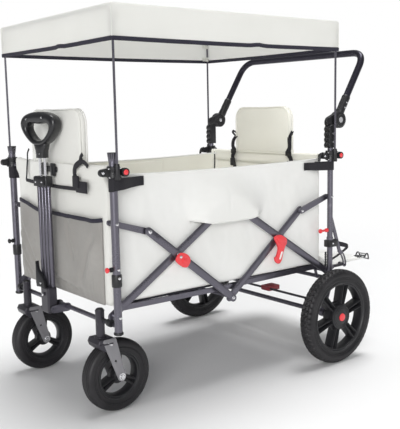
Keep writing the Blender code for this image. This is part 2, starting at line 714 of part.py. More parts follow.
def rear_wheels(bodies):
    for name, side in SIDES.items():
        centre = Vector((REAR_AXLE_X, side * REAR_WHEEL_Y, REAR_AXLE_Z))
        disc = wheel_disc(centre, REAR_RIM_RADIUS, REAR_WINDOW_RADIUS, REAR_BOSS_RADIUS, REAR_SPOKES,
                          REAR_WHEEL_WIDTH, AXLE_STUB_RADIUS + GAP, REAR_WHEEL_STEPS)
        outer = side * (REAR_WHEEL_WIDTH / 2 + GAP)
        disc.append(rod(centre + Vector((0, outer, 0)), centre + Vector((0, outer + side * 0.004, 0)),
                        0.030, 0.026, 20))
        disc.append(rod(centre + Vector((0, outer - side * 0.004, 0)),
                        centre + Vector((0, outer + side * 0.002, 0)),
                        0.031, sides=20))
        disc.append(rod(centre + Vector((0, outer + side * 0.003, 0)),
                        centre + Vector((0, outer + side * 0.0065, 0)),
                        0.015, 0.013, 14))
        carry(bodies["rear_wheel_" + name], fuse("rear_hub_" + name, disc, BLACK),
              fuse("rear_tyre_" + name, [tyre(centre, REAR_WHEEL_RADIUS, REAR_RIM_RADIUS, REAR_WHEEL_WIDTH,
                                              REAR_WHEEL_STEPS)],
                   RUBBER))


def pull_handle(bodies):
    """Yoke, ribbed shaft, two sliding tubes and a loop grip. The shaft stands turned in its yoke."""
    face = PULL_X - YOKE_DEPTH / 2
    yoke = fuse("pull_yoke", [block((face, -YOKE_WIDTH / 2, PULL_PIVOT_Z - 0.012),
                                    (PULL_X + YOKE_DEPTH / 2, YOKE_WIDTH / 2, YOKE_TOP), 0.005),
                              rod((face + 0.004, 0, YOKE_TOP - 0.020), (face - 0.003, 0, YOKE_TOP - 0.020),
                                  0.005,
                                  sides=12)], BLACK)
    cut(yoke, [rod((PULL_X, -YOKE_WIDTH, PULL_PIVOT_Z), (PULL_X, YOKE_WIDTH, PULL_PIVOT_Z),
                   PIN_RADIUS + GAP, sides=12)])
    carry(bodies["pull_yoke"], yoke)

    turn = Matrix.Translation((PULL_X, 0, 0)) @ Matrix.Rotation(PULL_TURN, 4, "Z")
    shaft_bottom = YOKE_TOP + GAP
    ribs = []
    for k in range(SHAFT_RIBS):
        y = (k - (SHAFT_RIBS - 1) / 2) * SHAFT_RIB_PITCH
        ribs.append(rod((0, y, shaft_bottom), (0, y, SHAFT_TOP - 0.01), SHAFT_RIB_RADIUS, sides=14))
    wide = SHAFT_RIBS * SHAFT_RIB_PITCH / 2
    core = SHAFT_DEPTH / 2 - 0.0045
    ribs.append(block((-core, -wide, shaft_bottom), (core, wide, SHAFT_TOP - 0.01)))
    ribs.append(block((-SHAFT_DEPTH / 2 - 0.003, -wide - 0.005, SHAFT_TOP - COLLAR_HEIGHT_PULL),
                      (SHAFT_DEPTH / 2 + 0.003, wide + 0.005, SHAFT_TOP), 0.003))
    bores = [rod((0, way * SLIDE_TUBE_SPACING / 2, SLIDE_TUBE_BOTTOM - 0.055),
                 (0, way * SLIDE_TUBE_SPACING / 2, SHAFT_TOP + 0.01), SLIDE_TUBE_RADIUS + GAP, sides=14)
             for way in (-1, 1)]
    shaft = fuse("pull_shaft", ribs, GUNMETAL)
    cut(shaft, bores)
    tubes = [rod((0, way * SLIDE_TUBE_SPACING / 2, SLIDE_TUBE_BOTTOM),
                 (0, way * SLIDE_TUBE_SPACING / 2, GRIP_BOTTOM + 0.02), SLIDE_TUBE_RADIUS, sides=14)
             for way in (-1, 1)]
    tubes.append(block((-0.0035, -SLIDE_TUBE_SPACING / 2, GRIP_BOTTOM + 0.006),
                       (0.0035, SLIDE_TUBE_SPACING / 2, GRIP_BOTTOM + 0.016)))
    sliding = fuse("pull_tubes", tubes, STEEL)
    grip = fuse("pull_grip", [loop_grip()], BLACK)
    cut(grip, [fuse("tube_socket", [block((-0.0038, -SLIDE_TUBE_SPACING / 2 - 0.001, GRIP_BOTTOM - 0.01),
                                          (0.0038, SLIDE_TUBE_SPACING / 2 + 0.001, GRIP_BOTTOM + 0.0163))]
                    + [rod((0, way * SLIDE_TUBE_SPACING / 2, GRIP_BOTTOM - 0.01),
                           (0, way * SLIDE_TUBE_SPACING / 2, GRIP_BOTTOM + 0.02 + GAP),
                           SLIDE_TUBE_RADIUS + GAP, sides=14) for way in (-1, 1)], BLACK)])
    for piece, body in ((shaft, "pull_shaft"), (sliding, "pull_tubes"), (grip, "pull_tubes")):
        carry(bodies[body], piece)
        piece.matrix_basis = turn


def loop_grip():
    """A rounded loop with a neck: wide at the top, drawn in to the tubes."""
    height = GRIP_TOP - GRIP_BOTTOM
    half = GRIP_WIDTH / 2
    right = [(0.016, 0.0), (0.018, 0.020), (0.024, 0.034), (half * 0.66, 0.052), (half * 0.90, 0.074),
             (half, 0.095), (half * 0.93, 0.109), (half * 0.70, 0.121), (half * 0.35, height - 0.001)]
    outer = right + [(0.0, height)] + [(-y, z) for y, z in reversed(right)]
    inner = [(0.009, 0.043), (half * 0.40, 0.052), (half * 0.60, 0.070), (half * 0.66, 0.088),
             (half * 0.58, 0.099),
             (half * 0.42, 0.098), (0.0, 0.0945)]
    hole = inner + [(-y, z) for y, z in reversed(inner[:-1])]
    lifted = [[(y, GRIP_BOTTOM + z) for y, z in outline] for outline in (outer, hole)]
    grip = plate(lifted, GRIP_DEPTH, "YZ", 0.0)
    soften = grip.modifiers.new("rounding", "BEVEL")
    soften.width = 0.007
    soften.segments = 2
    soften.limit_method = "ANGLE"
    soften.angle_limit = radians(60)
    return grip


def push_handle(bodies):
    """Fixed hubs on the posts, the turning handle with its arms, and the hub buttons."""
    for name, side in SIDES.items():
        step = (SLEEVE_TOP - SLEEVE_BOTTOM) / (SLEEVE_SCALLOPS * 6)
        front = [(REAR_POST_X - SLEEVE_HALF + SCALLOP_DEPTH * abs(sin(pi * k / 6)),
                  SLEEVE_BOTTOM + step * k)
                 for k in range(SLEEVE_SCALLOPS * 6 + 1)]
        outline = [(REAR_POST_X + SLEEVE_HALF, SLEEVE_TOP), (REAR_POST_X + SLEEVE_HALF,
                                                             SLEEVE_BOTTOM)] + front
        wide = HUB_OUTER_Y - HUB_INNER_Y
        fixed = HUB_SPLIT_Y - HUB_INNER_Y
        fixed_y = side * (HUB_SPLIT_Y + HUB_INNER_Y) / 2
        pieces = [plate([outline], wide, "XZ", side * (HUB_OUTER_Y + HUB_INNER_Y) / 2),
                  plate([capsule((REAR_POST_X, SLEEVE_TOP - 0.006), (HUB_X, HUB_Z), SLEEVE_HALF - 0.0005,
                                 HUB_RADIUS,
                                 12)], fixed, "XZ", fixed_y)]
        hub = fuse("handle_hub_" + name, pieces, BLACK)
        cut(hub, [rod((REAR_POST_X, side * POST_Y, SLEEVE_BOTTOM - 0.01),
                      (REAR_POST_X, side * POST_Y, REAR_POST_TOP + GAP), REAR_POST_RADIUS + GAP, sides=20)])
        carry(bodies["rear_frame"], hub)

        button = fuse("hub_button_" + name, [ring_rod(side, HUB_X, HUB_Z, HUB_SPLIT_Y + 0.0042,
                                                      HUB_OUTER_Y + 0.0015,
                                                      BUTTON_RADIUS, 20)], STEEL)
        carry(bodies["hub_button_" + name], button)

    along = Vector((cos(PUSH_ANGLE), 0, sin(PUSH_ANGLE)))
    hub = Vector((HUB_X, 0, HUB_Z))
    left, right = Vector((0, -PUSH_TUBE_Y, 0)), Vector((0, PUSH_TUBE_Y, 0))
    start, end = hub + along * 0.040, hub + along * PUSH_LENGTH
    pieces = [tube([start + left, end + left, end + right, start + right], PUSH_TUBE_RADIUS, PUSH_BEND, 3)]
    recesses = []
    for side in SIDES.values():
        shift = Vector((0, side * PUSH_TUBE_Y, 0))
        pieces.append(rod(hub + along * 0.031 + shift, hub + along * 0.078 + shift,
                          PUSH_TUBE_RADIUS + 0.0028, sides=14))
        root, tip = (HUB_X, HUB_Z), (HUB_X + along.x * 0.068, HUB_Z + along.z * 0.068)
        split = HUB_SPLIT_Y + 0.0004
        pieces.append(plate([capsule(root, tip, HUB_RADIUS - 0.0005, 0.012, 9)], HUB_OUTER_Y - split, "XZ",
                            side * (HUB_OUTER_Y + split) / 2))
        recesses.append(ring_rod(side, HUB_X, HUB_Z, split + 0.0008, HUB_OUTER_Y + 0.01,
                                 BUTTON_RADIUS + GAP, 20))
    handle = fuse("push_handle", pieces, GUNMETAL)
    cut(handle, recesses)
    carry(bodies["push_handle"], handle)


def clamps(bodies):
    """Pole clamps on the four posts, each with a bolt lug in front and a knob that faces outward."""
    for end, post_x, radius in (("front", FRONT_POST_X, FRONT_POST_RADIUS),
                                ("rear", REAR_POST_X, REAR_POST_RADIUS)):
        for name, side in SIDES.items():
            y = side * POST_Y
            pole = (post_x + POLE_SHIFT, side * POLE_Y)
            low, high = CLAMP_Z - CLAMP_HEIGHT / 2, CLAMP_Z + CLAMP_HEIGHT / 2
            pieces = [rod((post_x, y, low), (post_x, y, high), CLAMP_RADIUS, sides=16),
                      rod((*pole, low - 0.004), (*pole, high + 0.006), POLE_RADIUS + 0.0042, sides=12),
                      plate([capsule((post_x - 0.010, CLAMP_Z), (post_x - LUG_LENGTH, CLAMP_Z), 0.012,
                                     0.0095)], 0.010,
                            "XZ", side * (POST_Y + 0.002)),
                      ring_rod(side, post_x - LUG_LENGTH, CLAMP_Z, POST_Y + 0.004, POST_Y + 0.0095, 0.0045),
                      plate([capsule((post_x + 0.006, CLAMP_Z), (post_x + KNOB_REACH, CLAMP_Z), 0.0085,
                                     0.0085)], 0.010,
                            "XZ", side * (KNOB_ROOT_Y - 0.005))]
            clamp = fuse(f"{end}_clamp_{name}", pieces, BLACK)
            cut(clamp, [fuse("clamp_bore", [rod((post_x, y, low - 0.01), (post_x, y, high + 0.01),
                                                radius + 0.0004,
                                                sides=16),
                                            rod((*pole, low - 0.01), (*pole, high + 0.01),
                                                POLE_RADIUS + 0.0005,
                                                sides=12),
                                            rod((post_x, side * (POST_Y - 0.03), RIM_TUBE_Z),
                                                (post_x, y, RIM_TUBE_Z),
                                                RIM_TUBE_RADIUS + 0.0005)], BLACK)])
            carry(bodies[end + "_frame"], clamp)
            knob_x, start, face = post_x + KNOB_REACH, KNOB_ROOT_Y + GAP, KNOB_ROOT_Y + GAP + KNOB_LENGTH
            knob = fuse(f"{end}_knob_{name}", [rod((knob_x, side * start, CLAMP_Z),
                                                   (knob_x, side * face, CLAMP_Z),
                                                  KNOB_RADIUS, KNOB_RADIUS - 0.001, 10),
                                               rod((knob_x, side * (face - 0.002), CLAMP_Z),
                                                   (knob_x, side * (face + 0.003), CLAMP_Z), 0.0075, 0.006,
                                                   16)], RED)
            carry(bodies[f"{end}_knob_{name}"], knob)


def canopy(bodies):
    """Two pole hoops and the cover that spans them: a flat top with straight valances, open below."""
    hoop_top = CANOPY_TOP - CANOPY_WALL - POLE_RADIUS - 0.003
    places = {"front": FRONT_POST_X + POLE_SHIFT, "rear": REAR_POST_X + POLE_SHIFT}
    for end, x in places.items():
        route = [(x, -POLE_Y, POLE_BOTTOM), (x, -POLE_Y, hoop_top), (x, POLE_Y, hoop_top),
                 (x, POLE_Y, POLE_BOTTOM)]
        carry(bodies[end + "_poles"], fuse(end + "_poles", [tube(route, POLE_RADIUS, POLE_BEND, 2)],
                                           GUNMETAL))
    room = POLE_RADIUS + 0.0005
    low = Vector((places["front"] - room, -POLE_Y - room, CANOPY_TOP - CANOPY_DROP))
    high = Vector((places["rear"] + room, POLE_Y + room, CANOPY_TOP - CANOPY_WALL))
    wall = Vector((CANOPY_WALL, CANOPY_WALL, 0))
    cover = block(low - wall, (high.x + CANOPY_WALL, high.y + CANOPY_WALL, CANOPY_TOP))
    hollow = block(low - Vector((0, 0, 0.01)), high)
    carry(bodies["rear_poles"], fuse("canopy_cover", [ring_cut(cover, hollow)], CREAM))


def fabric(bodies):
    """The tub: end panels, a liner with sleeves over the bars, a pocket and two seat backs."""
    panel_x = {"front": FRONT_POST_X, "rear": REAR_POST_X - REAR_PANEL_INSET}
    half = TUB_HALF_WIDTH
    for end, x in panel_x.items():
        panel = block((x, -half, TUB_FLOOR_Z), (x + FABRIC, half, PANEL_TOP))
        carry(bodies[end + "_frame"], fuse(end + "_panel", [panel], CREAM))
    start, finish = FRONT_POST_X + RIM_TUBE_RADIUS + GAP, panel_x["rear"] - GAP
    pieces = [block((start, -half, TUB_FLOOR_Z), (finish, half, TUB_FLOOR_Z + FABRIC))]
    for side in SIDES.values():
        y = across(side, half - FABRIC, half)
        pieces.append(block((start, y[0], TUB_FLOOR_Z), (finish, y[1], TUB_RIM_Z)))
        y = across(side, SLEEVE_Y - FABRIC / 2, SLEEVE_Y + FABRIC / 2)
        ends = CENTRE_X - SLEEVE_HALF_LENGTH, CENTRE_X + SLEEVE_HALF_LENGTH
        pieces.append(block((ends[0], y[0], SLEEVE_SLIT_Z), (ends[1], y[1], TUB_RIM_Z)))
        y = across(side, half - FABRIC, SLEEVE_Y + FABRIC / 2)
        pieces.append(block((ends[0], y[0], TUB_RIM_Z - FABRIC), (ends[1], y[1], TUB_RIM_Z)))
    carry(bodies["rear_frame"], fuse("tub_liner", pieces, CREAM))

    face = panel_x["front"] - GAP
    pocket = block((face - POCKET_BULGE, -POCKET_HALF_WIDTH, TUB_FLOOR_Z - 0.002),
                   (face, POCKET_HALF_WIDTH, POCKET_TOP))
    inside = block((face - POCKET_BULGE + 0.003, -POCKET_HALF_WIDTH + 0.004, TUB_FLOOR_Z + 0.004),
                   (face - 0.002, POCKET_HALF_WIDTH - 0.004, POCKET_TOP + 0.01))
    carry(bodies["front_frame"], fuse("front_pocket", [ring_cut(pocket, inside)], GREY_NYLON))

    tube_gap = RIM_TUBE_RADIUS + 0.0015
    above = RIM_TUBE_Z + tube_gap
    for end, post_x, way, width in (("front", FRONT_POST_X, 1, SEAT_WIDTH),
                                    ("rear", REAR_POST_X, -1, REAR_SEAT_WIDTH)):
        wide = width / 2
        corner = SEAT_CORNER
        arc = [(wide - corner + corner * cos(pi / 2 * k / 5), SEAT_TOP - corner + corner * sin(pi / 2 * k / 5))
               for k in range(6)]
        outline = [(wide, above)] + arc + [(-y, z) for y, z in reversed(arc)] + [(-wide, above)]
        outer_x = post_x - way * 0.005
        inner_x = outer_x + way * SEAT_THICKNESS
        back = plate([outline], SEAT_THICKNESS, "YZ", (outer_x + inner_x) / 2)
        tongue_x = sorted((post_x + way * (max(tube_gap, REAR_PANEL_INSET + 0.0006) + 0.0005), inner_x))
        tongue = block((tongue_x[0], -wide + 0.004, SEAT_BOTTOM), (tongue_x[1], wide - 0.004, above + 0.02))
        carry(bodies[end + "_frame"], fuse(end + "_seat_back", [back, tongue], CREAM))


def floor_brackets(post_x, way, rail_y):
    """The plates and pins that a floor half turns on, standing on the lower cross tube."""
    hinge = (post_x + way * FLOOR_HINGE_SHIFT, FLOOR_HINGE_Z)
    foot = (post_x + way * 0.008, CROSSBAR_Z)
    face = rail_y - RAIL_THICKNESS / 2 - GAP
    pieces = []
    for side in SIDES.values():
        pieces.append(plate([capsule(foot, hinge, 0.005)], HINGE_PLATE, "XZ",
                            side * (face - HINGE_PLATE / 2)))
        pieces.append(ring_rod(side, *hinge, face - HINGE_PLATE / 2, rail_y + RAIL_THICKNESS / 2 + 0.0003,
                               PIN_RADIUS - 0.0005))
    return pieces


def floor_halves(bodies):
    """Two floor halves: side rails hinged beside the posts, two cross tubes and a board."""
    for end, post_x, way, rail_y in (("front", FRONT_POST_X, 1, FRONT_RAIL_Y),
                                     ("rear", REAR_POST_X, -1, REAR_RAIL_Y)):
        root, tip = (post_x + way * FLOOR_HINGE_SHIFT, FLOOR_HINGE_Z), (CENTRE_X + way * 0.010, RAIL_Z)
        pieces = []
        for side in SIDES.values():
            pieces.append(plate([capsule(root, tip, RAIL_HEIGHT / 2 + 0.0005, RAIL_HEIGHT / 2),
                                 circle(root, PIN_RADIUS - 0.0005 + GAP, 12)], RAIL_THICKNESS, "XZ",
                                 side * rail_y))
        inner = REAR_RAIL_Y - RAIL_THICKNESS / 2 - 0.0006 if way > 0 else rail_y
        top = RAIL_Z + 0.0115
        x = sorted((root[0] + way * 0.008, CENTRE_X - way * BOARD_SHORT))
        pieces.append(block((x[0], -inner, top - BOARD_THICKNESS), (x[1], inner, top)))
        for reach in (0.10, 0.26):
            bar_x = post_x + way * reach
            pieces.append(rod((bar_x, -rail_y, RAIL_Z + 0.002), (bar_x, rail_y, RAIL_Z + 0.002), 0.006,
                              sides=12))
        carry(bodies["floor_" + end], fuse("floor_" + end, pieces, BLACK))


def brake(bodies):
    """The brake bar behind the axle, with a crank and lock pin at each wheel, and its foot pedal."""
    pieces = [rod((BRAKE_X, -BRAKE_HALF_WIDTH, BRAKE_Z), (BRAKE_X, BRAKE_HALF_WIDTH, BRAKE_Z), BRAKE_RADIUS,
                  sides=12)]
    for side in SIDES.values():
        pin = (BRAKE_X + 0.016, BRAKE_Z + 0.010)
        pieces.append(plate([capsule((BRAKE_X, BRAKE_Z), pin, 0.006, 0.005)], 0.004, "XZ",
                            side * (BRAKE_HALF_WIDTH - 0.006)))
        pieces.append(ring_rod(side, *pin, BRAKE_HALF_WIDTH - 0.007, BRAKE_HALF_WIDTH + 0.004, 0.003, 10))
    carry(bodies["brake"], fuse("brake_bar", pieces, BLACK))
    half = PEDAL_WIDTH / 2
    pad = block((BRAKE_X + 0.002, -half, BRAKE_Z - 0.004), (BRAKE_X + PEDAL_LENGTH, half, BRAKE_Z + 0.005),
                0.003)
    eye = rod((BRAKE_X, -half - 0.001, BRAKE_Z), (BRAKE_X, half + 0.001, BRAKE_Z), BRAKE_RADIUS + 0.004,
              sides=16)
    pedal = fuse("brake_pedal", [pad, eye], RED)
    cut(pedal, [rod((BRAKE_X, -half - 0.01, BRAKE_Z), (BRAKE_X, half + 0.01, BRAKE_Z), BRAKE_RADIUS + GAP,
                    sides=12)])
    carry(bodies["brake"], pedal)


def latches(bodies):
    """The hook on the left rear bars, its catch on the front ones, and the frame's pull pins."""
    rear_cross = (REAR_POST_X - POST_REACH, CROSS_Z)
    way = Vector((cos(POST_BAR_ANGLE), -sin(POST_BAR_ANGLE)))
    root = (rear_cross[0] + way.x * HOOK_SHIFT, rear_cross[1] + way.y * HOOK_SHIFT)
    knee = (root[0] + 0.004, root[1] - HOOK_LENGTH * 0.36)
    toe = (root[0] - 0.010, root[1] - HOOK_LENGTH)
    pieces = [plate([capsule(root, knee, 0.011, 0.0075)], LATCH_THICKNESS, "XZ", -LATCH_Y),
              plate([capsule(knee, toe, 0.0075, 0.0065), capsule((knee[0] - 0.004, knee[1] - 0.016),
                                                                (toe[0] + 0.002, toe[1] + 0.008), 0.0028)],
                    LATCH_THICKNESS, "XZ", -LATCH_Y)]
    carry(bodies["fold_hook"], fuse("fold_hook", pieces, RED))
    front_cross = (FRONT_POST_X + POST_REACH, CROSS_Z)
    way = Vector((cos(CENTRE_BAR_ANGLE), -sin(CENTRE_BAR_ANGLE)))
    far = (front_cross[0] + way.x * 0.026, front_cross[1] + way.y * 0.026)
    pieces = [plate([capsule(front_cross, far, 0.0145, 0.011), circle(front_cross, RIVET_RADIUS + GAP, 12)],
                    LATCH_THICKNESS, "XZ", -LATCH_Y + 0.001)]
    carry(bodies["front_centre_bars"], fuse("fold_catch", pieces, RED))

    for end, post_x, way, radius, z in (("front", FRONT_POST_X, -1, FRONT_POST_RADIUS, STOP_PIN_Z),
                                        ("rear", REAR_POST_X, -1, REAR_POST_RADIUS, REAR_PIN_Z)):
        for name, side in SIDES.items():
            y = side * STOP_PIN_Y
            start = post_x + way * (radius + 0.0006)
            pieces = [rod((start, y, z), (start + way * STOP_PIN_LENGTH, y, z), 0.0035, sides=12),
                      rod((start + way * (STOP_PIN_LENGTH - 0.009), y, z),
                          (start + way * STOP_PIN_LENGTH, y, z),
                          0.0075, 0.0065, 16)]
            carry(bodies[f"{end}_pin_{name}"], fuse(f"{end}_pin_{name}", pieces, RED))


def basket(bodies):
    """The fold-up basket frame behind the posts, and its bag with a flap that tapers to the rear."""
    route = [(BASKET_PIVOT_X, -BASKET_ARM_Y, BASKET_PIVOT_Z), (BASKET_END_X, -BASKET_ARM_Y, BASKET_PIVOT_Z),
             (BASKET_END_X, BASKET_ARM_Y, BASKET_PIVOT_Z), (BASKET_PIVOT_X, BASKET_ARM_Y, BASKET_PIVOT_Z)]
    pieces = [tube(route, BASKET_TUBE_RADIUS, 0.010, 2)]
    for side in SIDES.values():
        for pin_x in (BASKET_PIVOT_X + 0.0001, BASKET_PIVOT_X + BRACE_SLOT_RADIUS):
            pieces.append(ring_rod(side, pin_x, BASKET_PIVOT_Z, BASKET_ARM_Y, BRACE_Y + 0.004,
                                   BASKET_PIN_RADIUS, 10))
    carry(bodies["basket"], fuse("basket_frame", pieces, GUNMETAL))
    x, z = BASKET_END_X, BASKET_PIVOT_Z
    outline = [(BASKET_PIVOT_X, z + BAG_RISE), (x + BAG_SKIN, z + BAG_END_RISE),
               (x + BAG_TIP_REACH - BASKET_REACH, z + BAG_TIP_RISE),
               (x + BAG_TIP_REACH - BASKET_REACH, z - BAG_SKIN), (x + BAG_SKIN, z - BAG_FALL),
               (BASKET_PIVOT_X, z - BAG_FALL)]
    bag = plate([outline, circle((x, z), BASKET_TUBE_RADIUS + 0.0006, 12)], BAG_HALF_WIDTH * 2, "XZ", 0.0)
    room = block((BASKET_PIVOT_X + BAG_SKIN, -BAG_HALF_WIDTH + BAG_SKIN, z + BAG_SKIN - BAG_FALL),
                 (x - BASKET_TUBE_RADIUS - BAG_SKIN, BAG_HALF_WIDTH - BAG_SKIN, z + BAG_MOUTH_ROOM))
    carry(bodies["basket"], fuse("basket_bag", [ring_cut(bag, room)], CREAM))


def build():
    clear_scene()
    bodies = {"rear_frame": pivot("rear_frame_body", (0, 0, 0))}

    def add(name, place, carrier):
        bodies[name] = pivot(name + "_pivot", place, bodies[carrier])

    add("rear_post_bars", (REAR_POST_X, 0, PIVOT_Z), "rear_frame")
    add("rear_centre_bars", (REAR_POST_X - POST_REACH, 0, CROSS_Z), "rear_post_bars")
    add("front_centre_bars", (CENTRE_X, 0, CENTRE_LOW_Z), "rear_centre_bars")
    add("front_post_bars", (FRONT_POST_X + POST_REACH, 0, CROSS_Z), "front_centre_bars")
    add("front_frame", (FRONT_POST_X, 0, PIVOT_Z), "front_post_bars")
    for end, x in (("front", FRONT_POST_X), ("rear", REAR_POST_X)):
        add(end + "_links", (x, 0, LINK_POST_Z), end + "_frame")
        way = 1 if end == "front" else -1
        add("floor_" + end, (x + way * FLOOR_HINGE_SHIFT, 0, FLOOR_HINGE_Z), end + "_frame")
        add(end + "_poles", (x + POLE_SHIFT, 0, POLE_BOTTOM), end + "_frame")
        for name, side in SIDES.items():
            add(f"{end}_knob_{name}", (x + KNOB_REACH, side * KNOB_ROOT_Y, CLAMP_Z), end + "_frame")
            add(f"{end}_pin_{name}", (x, side * STOP_PIN_Y, STOP_PIN_Z if end == "front" else REAR_PIN_Z),
                end + "_frame")
    for name, side in SIDES.items():
        add("caster_fork_" + name, (STEM_X, side * CASTER_Y, STEM_BOTTOM), "front_frame")
        add("caster_wheel_" + name, (CASTER_X, side * CASTER_Y, CASTER_RADIUS), "caster_fork_" + name)
        add("rear_wheel_" + name, (REAR_AXLE_X, side * REAR_WHEEL_Y, REAR_AXLE_Z), "rear_frame")
    add("pull_yoke", (PULL_X, 0, PULL_PIVOT_Z), "front_frame")
    add("pull_shaft", (PULL_X, 0, YOKE_TOP), "pull_yoke")
    add("pull_tubes", (PULL_X, 0, SHAFT_TOP), "pull_shaft")
    add("push_handle", (HUB_X, 0, HUB_Z), "rear_frame")
    for name, side in SIDES.items():
        add("hub_button_" + name, (HUB_X, side * HUB_OUTER_Y, HUB_Z), "push_handle")
    add("brake", (BRAKE_X, 0, BRAKE_Z), "rear_frame")
    add("fold_hook", (REAR_POST_X - POST_REACH + HOOK_SHIFT * cos(POST_BAR_ANGLE), -LATCH_Y,
                      CROSS_Z - HOOK_SHIFT * sin(POST_BAR_ANGLE)), "rear_post_bars")
    add("basket", (BASKET_PIVOT_X, 0, BASKET_PIVOT_Z), "rear_frame")

    front_frame(bodies["front_frame"])
    rear_frame(bodies["rear_frame"])
    scissor_bars(bodies)
    post_links(bodies)
    casters(bodies)
    rear_wheels(bodies)
    pull_handle(bodies)
    push_handle(bodies)
    clamps(bodies)
    canopy(bodies)
    fabric(bodies)
    floor_halves(bodies)
    brake(bodies)
    latches(bodies)
    basket(bodies)


build()
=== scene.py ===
from math import atan2, cos, exp, hypot, pi, radians, sin

import bmesh
import bpy
from mathutils import Matrix, Vector, noise


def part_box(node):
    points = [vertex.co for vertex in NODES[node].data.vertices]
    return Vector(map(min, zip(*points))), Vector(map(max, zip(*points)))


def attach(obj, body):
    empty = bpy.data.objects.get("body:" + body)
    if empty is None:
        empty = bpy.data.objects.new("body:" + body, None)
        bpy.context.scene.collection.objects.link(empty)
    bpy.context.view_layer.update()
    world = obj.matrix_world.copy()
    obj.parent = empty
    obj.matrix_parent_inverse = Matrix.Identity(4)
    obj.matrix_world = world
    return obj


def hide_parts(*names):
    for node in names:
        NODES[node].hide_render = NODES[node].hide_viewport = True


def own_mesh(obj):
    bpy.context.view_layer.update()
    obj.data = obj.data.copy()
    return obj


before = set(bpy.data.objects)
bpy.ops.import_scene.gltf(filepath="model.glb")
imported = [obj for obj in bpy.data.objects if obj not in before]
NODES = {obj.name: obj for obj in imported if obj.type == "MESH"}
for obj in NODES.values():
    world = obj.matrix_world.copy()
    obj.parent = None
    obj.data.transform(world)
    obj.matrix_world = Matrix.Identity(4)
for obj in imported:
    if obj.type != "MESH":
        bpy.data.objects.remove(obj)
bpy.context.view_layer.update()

SIDES = (("left", -1), ("right", 1))
FRONT_X, REAR_X, POST_Y, CENTRE_X = -0.48944, 0.3155, 0.2995, -0.08697
FRONT_POST_R, REAR_POST_R = 0.0105, 0.009
ENDS = (("front", FRONT_X, FRONT_POST_R), ("rear", REAR_X, REAR_POST_R))
FRONT_POST_TOP, FRONT_POST_FOOT, LINK_PIVOT_Z, LOW_PIVOT_Z = 0.705, 0.237, 0.525, 0.281
RIM_Z, POLE_Y, CLAMP_Z, KNOB_REACH = 0.6475, 0.3168, 0.657, 0.0222
LOW_CENTRE, HIGH_CENTRE = (CENTRE_X, 0.2614), (CENTRE_X, 0.542)
REAR_CROSS, FRONT_CROSS = (0.1075, 0.4161), (-0.2815, 0.4161)
REAR_LINK_TIP, FRONT_LINK_TIP = (0.1999, 0.4895), (-0.3738, 0.4895)
CASTER_X, CASTER_Y, CASTER_Z, STEM_X = -0.45444, 0.2215, 0.1, -0.49844
HUB_X, HUB_Z = 0.3515, 0.768
PULL_X, YOKE_Z = -0.53344, 0.2545
PULL_TURN = (Matrix.Translation((PULL_X, 0, 0)) @ Matrix.Rotation(radians(15), 4, "Z")
             @ Matrix.Translation((-PULL_X, 0, 0)))
X_AXIS, Y_AXIS, Z_AXIS = Vector((1, 0, 0)), Vector((0, 1, 0)), Vector((0, 0, 1))


class Term:
    """A shader socket that takes part in arithmetic."""

    def __init__(self, graph, socket):
        self.graph, self.socket = graph, socket

    def __add__(self, other):
        return self.graph.math("ADD", self, other)

    def __sub__(self, other):
        return self.graph.math("SUBTRACT", self, other)

    def __rsub__(self, other):
        return self.graph.math("SUBTRACT", other, self)

    def __mul__(self, other):
        return self.graph.math("MULTIPLY", self, other)

    def __abs__(self):
        return self.graph.math("ABSOLUTE", self)

    __radd__ = __add__


class Graph:
    """Nodes of one material or world, written as expressions."""

    def __init__(self, tree):
        self.tree = tree
        tree.nodes.clear()

    def node(self, kind, settings=None, inputs=None, output=0):
        made = self.tree.nodes.new(kind)
        for key, value in (settings or {}).items():
            setattr(made, key, value)
        for key, value in (inputs or {}).items():
            self.plug(made.inputs[key], value)
        return Term(self, made.outputs[output]) if made.outputs else None

    def plug(self, socket, value):
        if isinstance(value, Term):
            self.tree.links.new(value.socket, socket)
        elif isinstance(value, tuple) and len(value) == 3 and socket.type == "RGBA":
            socket.default_value = (*value, 1.0)
        else:
            socket.default_value = value

    def math(self, kind, *values):
        return self.node("ShaderNodeMath", {"operation": kind}, dict(enumerate(values)))

    def step(self, value, low, high):
        return self.node("ShaderNodeMapRange", {"interpolation_type": "SMOOTHSTEP"},
                         {0: value, 1: low, 2: high})

    def blend(self, factor, first, second):
        return self.node("ShaderNodeMix", {"data_type": "RGBA"}, {0: factor, 6: first, 7: second}, 2)

    def noise(self, vector, scale, detail=2.0):
        return self.node("ShaderNodeTexNoise", None, {"Vector": vector, "Scale": scale, "Detail": detail})

    def place(self):
        return self.node("ShaderNodeTexCoord", output=3)

    def stretched(self, scale):
        """Object coordinates scaled along each axis."""
        return self.node("ShaderNodeVectorMath", {"operation": "MULTIPLY"}, {0: self.place(), 1: scale})

    def cut(self):
        """How far across and along the cloth a point lies, in metres."""
        flat = self.node("ShaderNodeUVMap", {"uv_map": "cut"})
        return [self.node("ShaderNodeSeparateXYZ", None, {0: flat}, axis) for axis in (0, 1)]


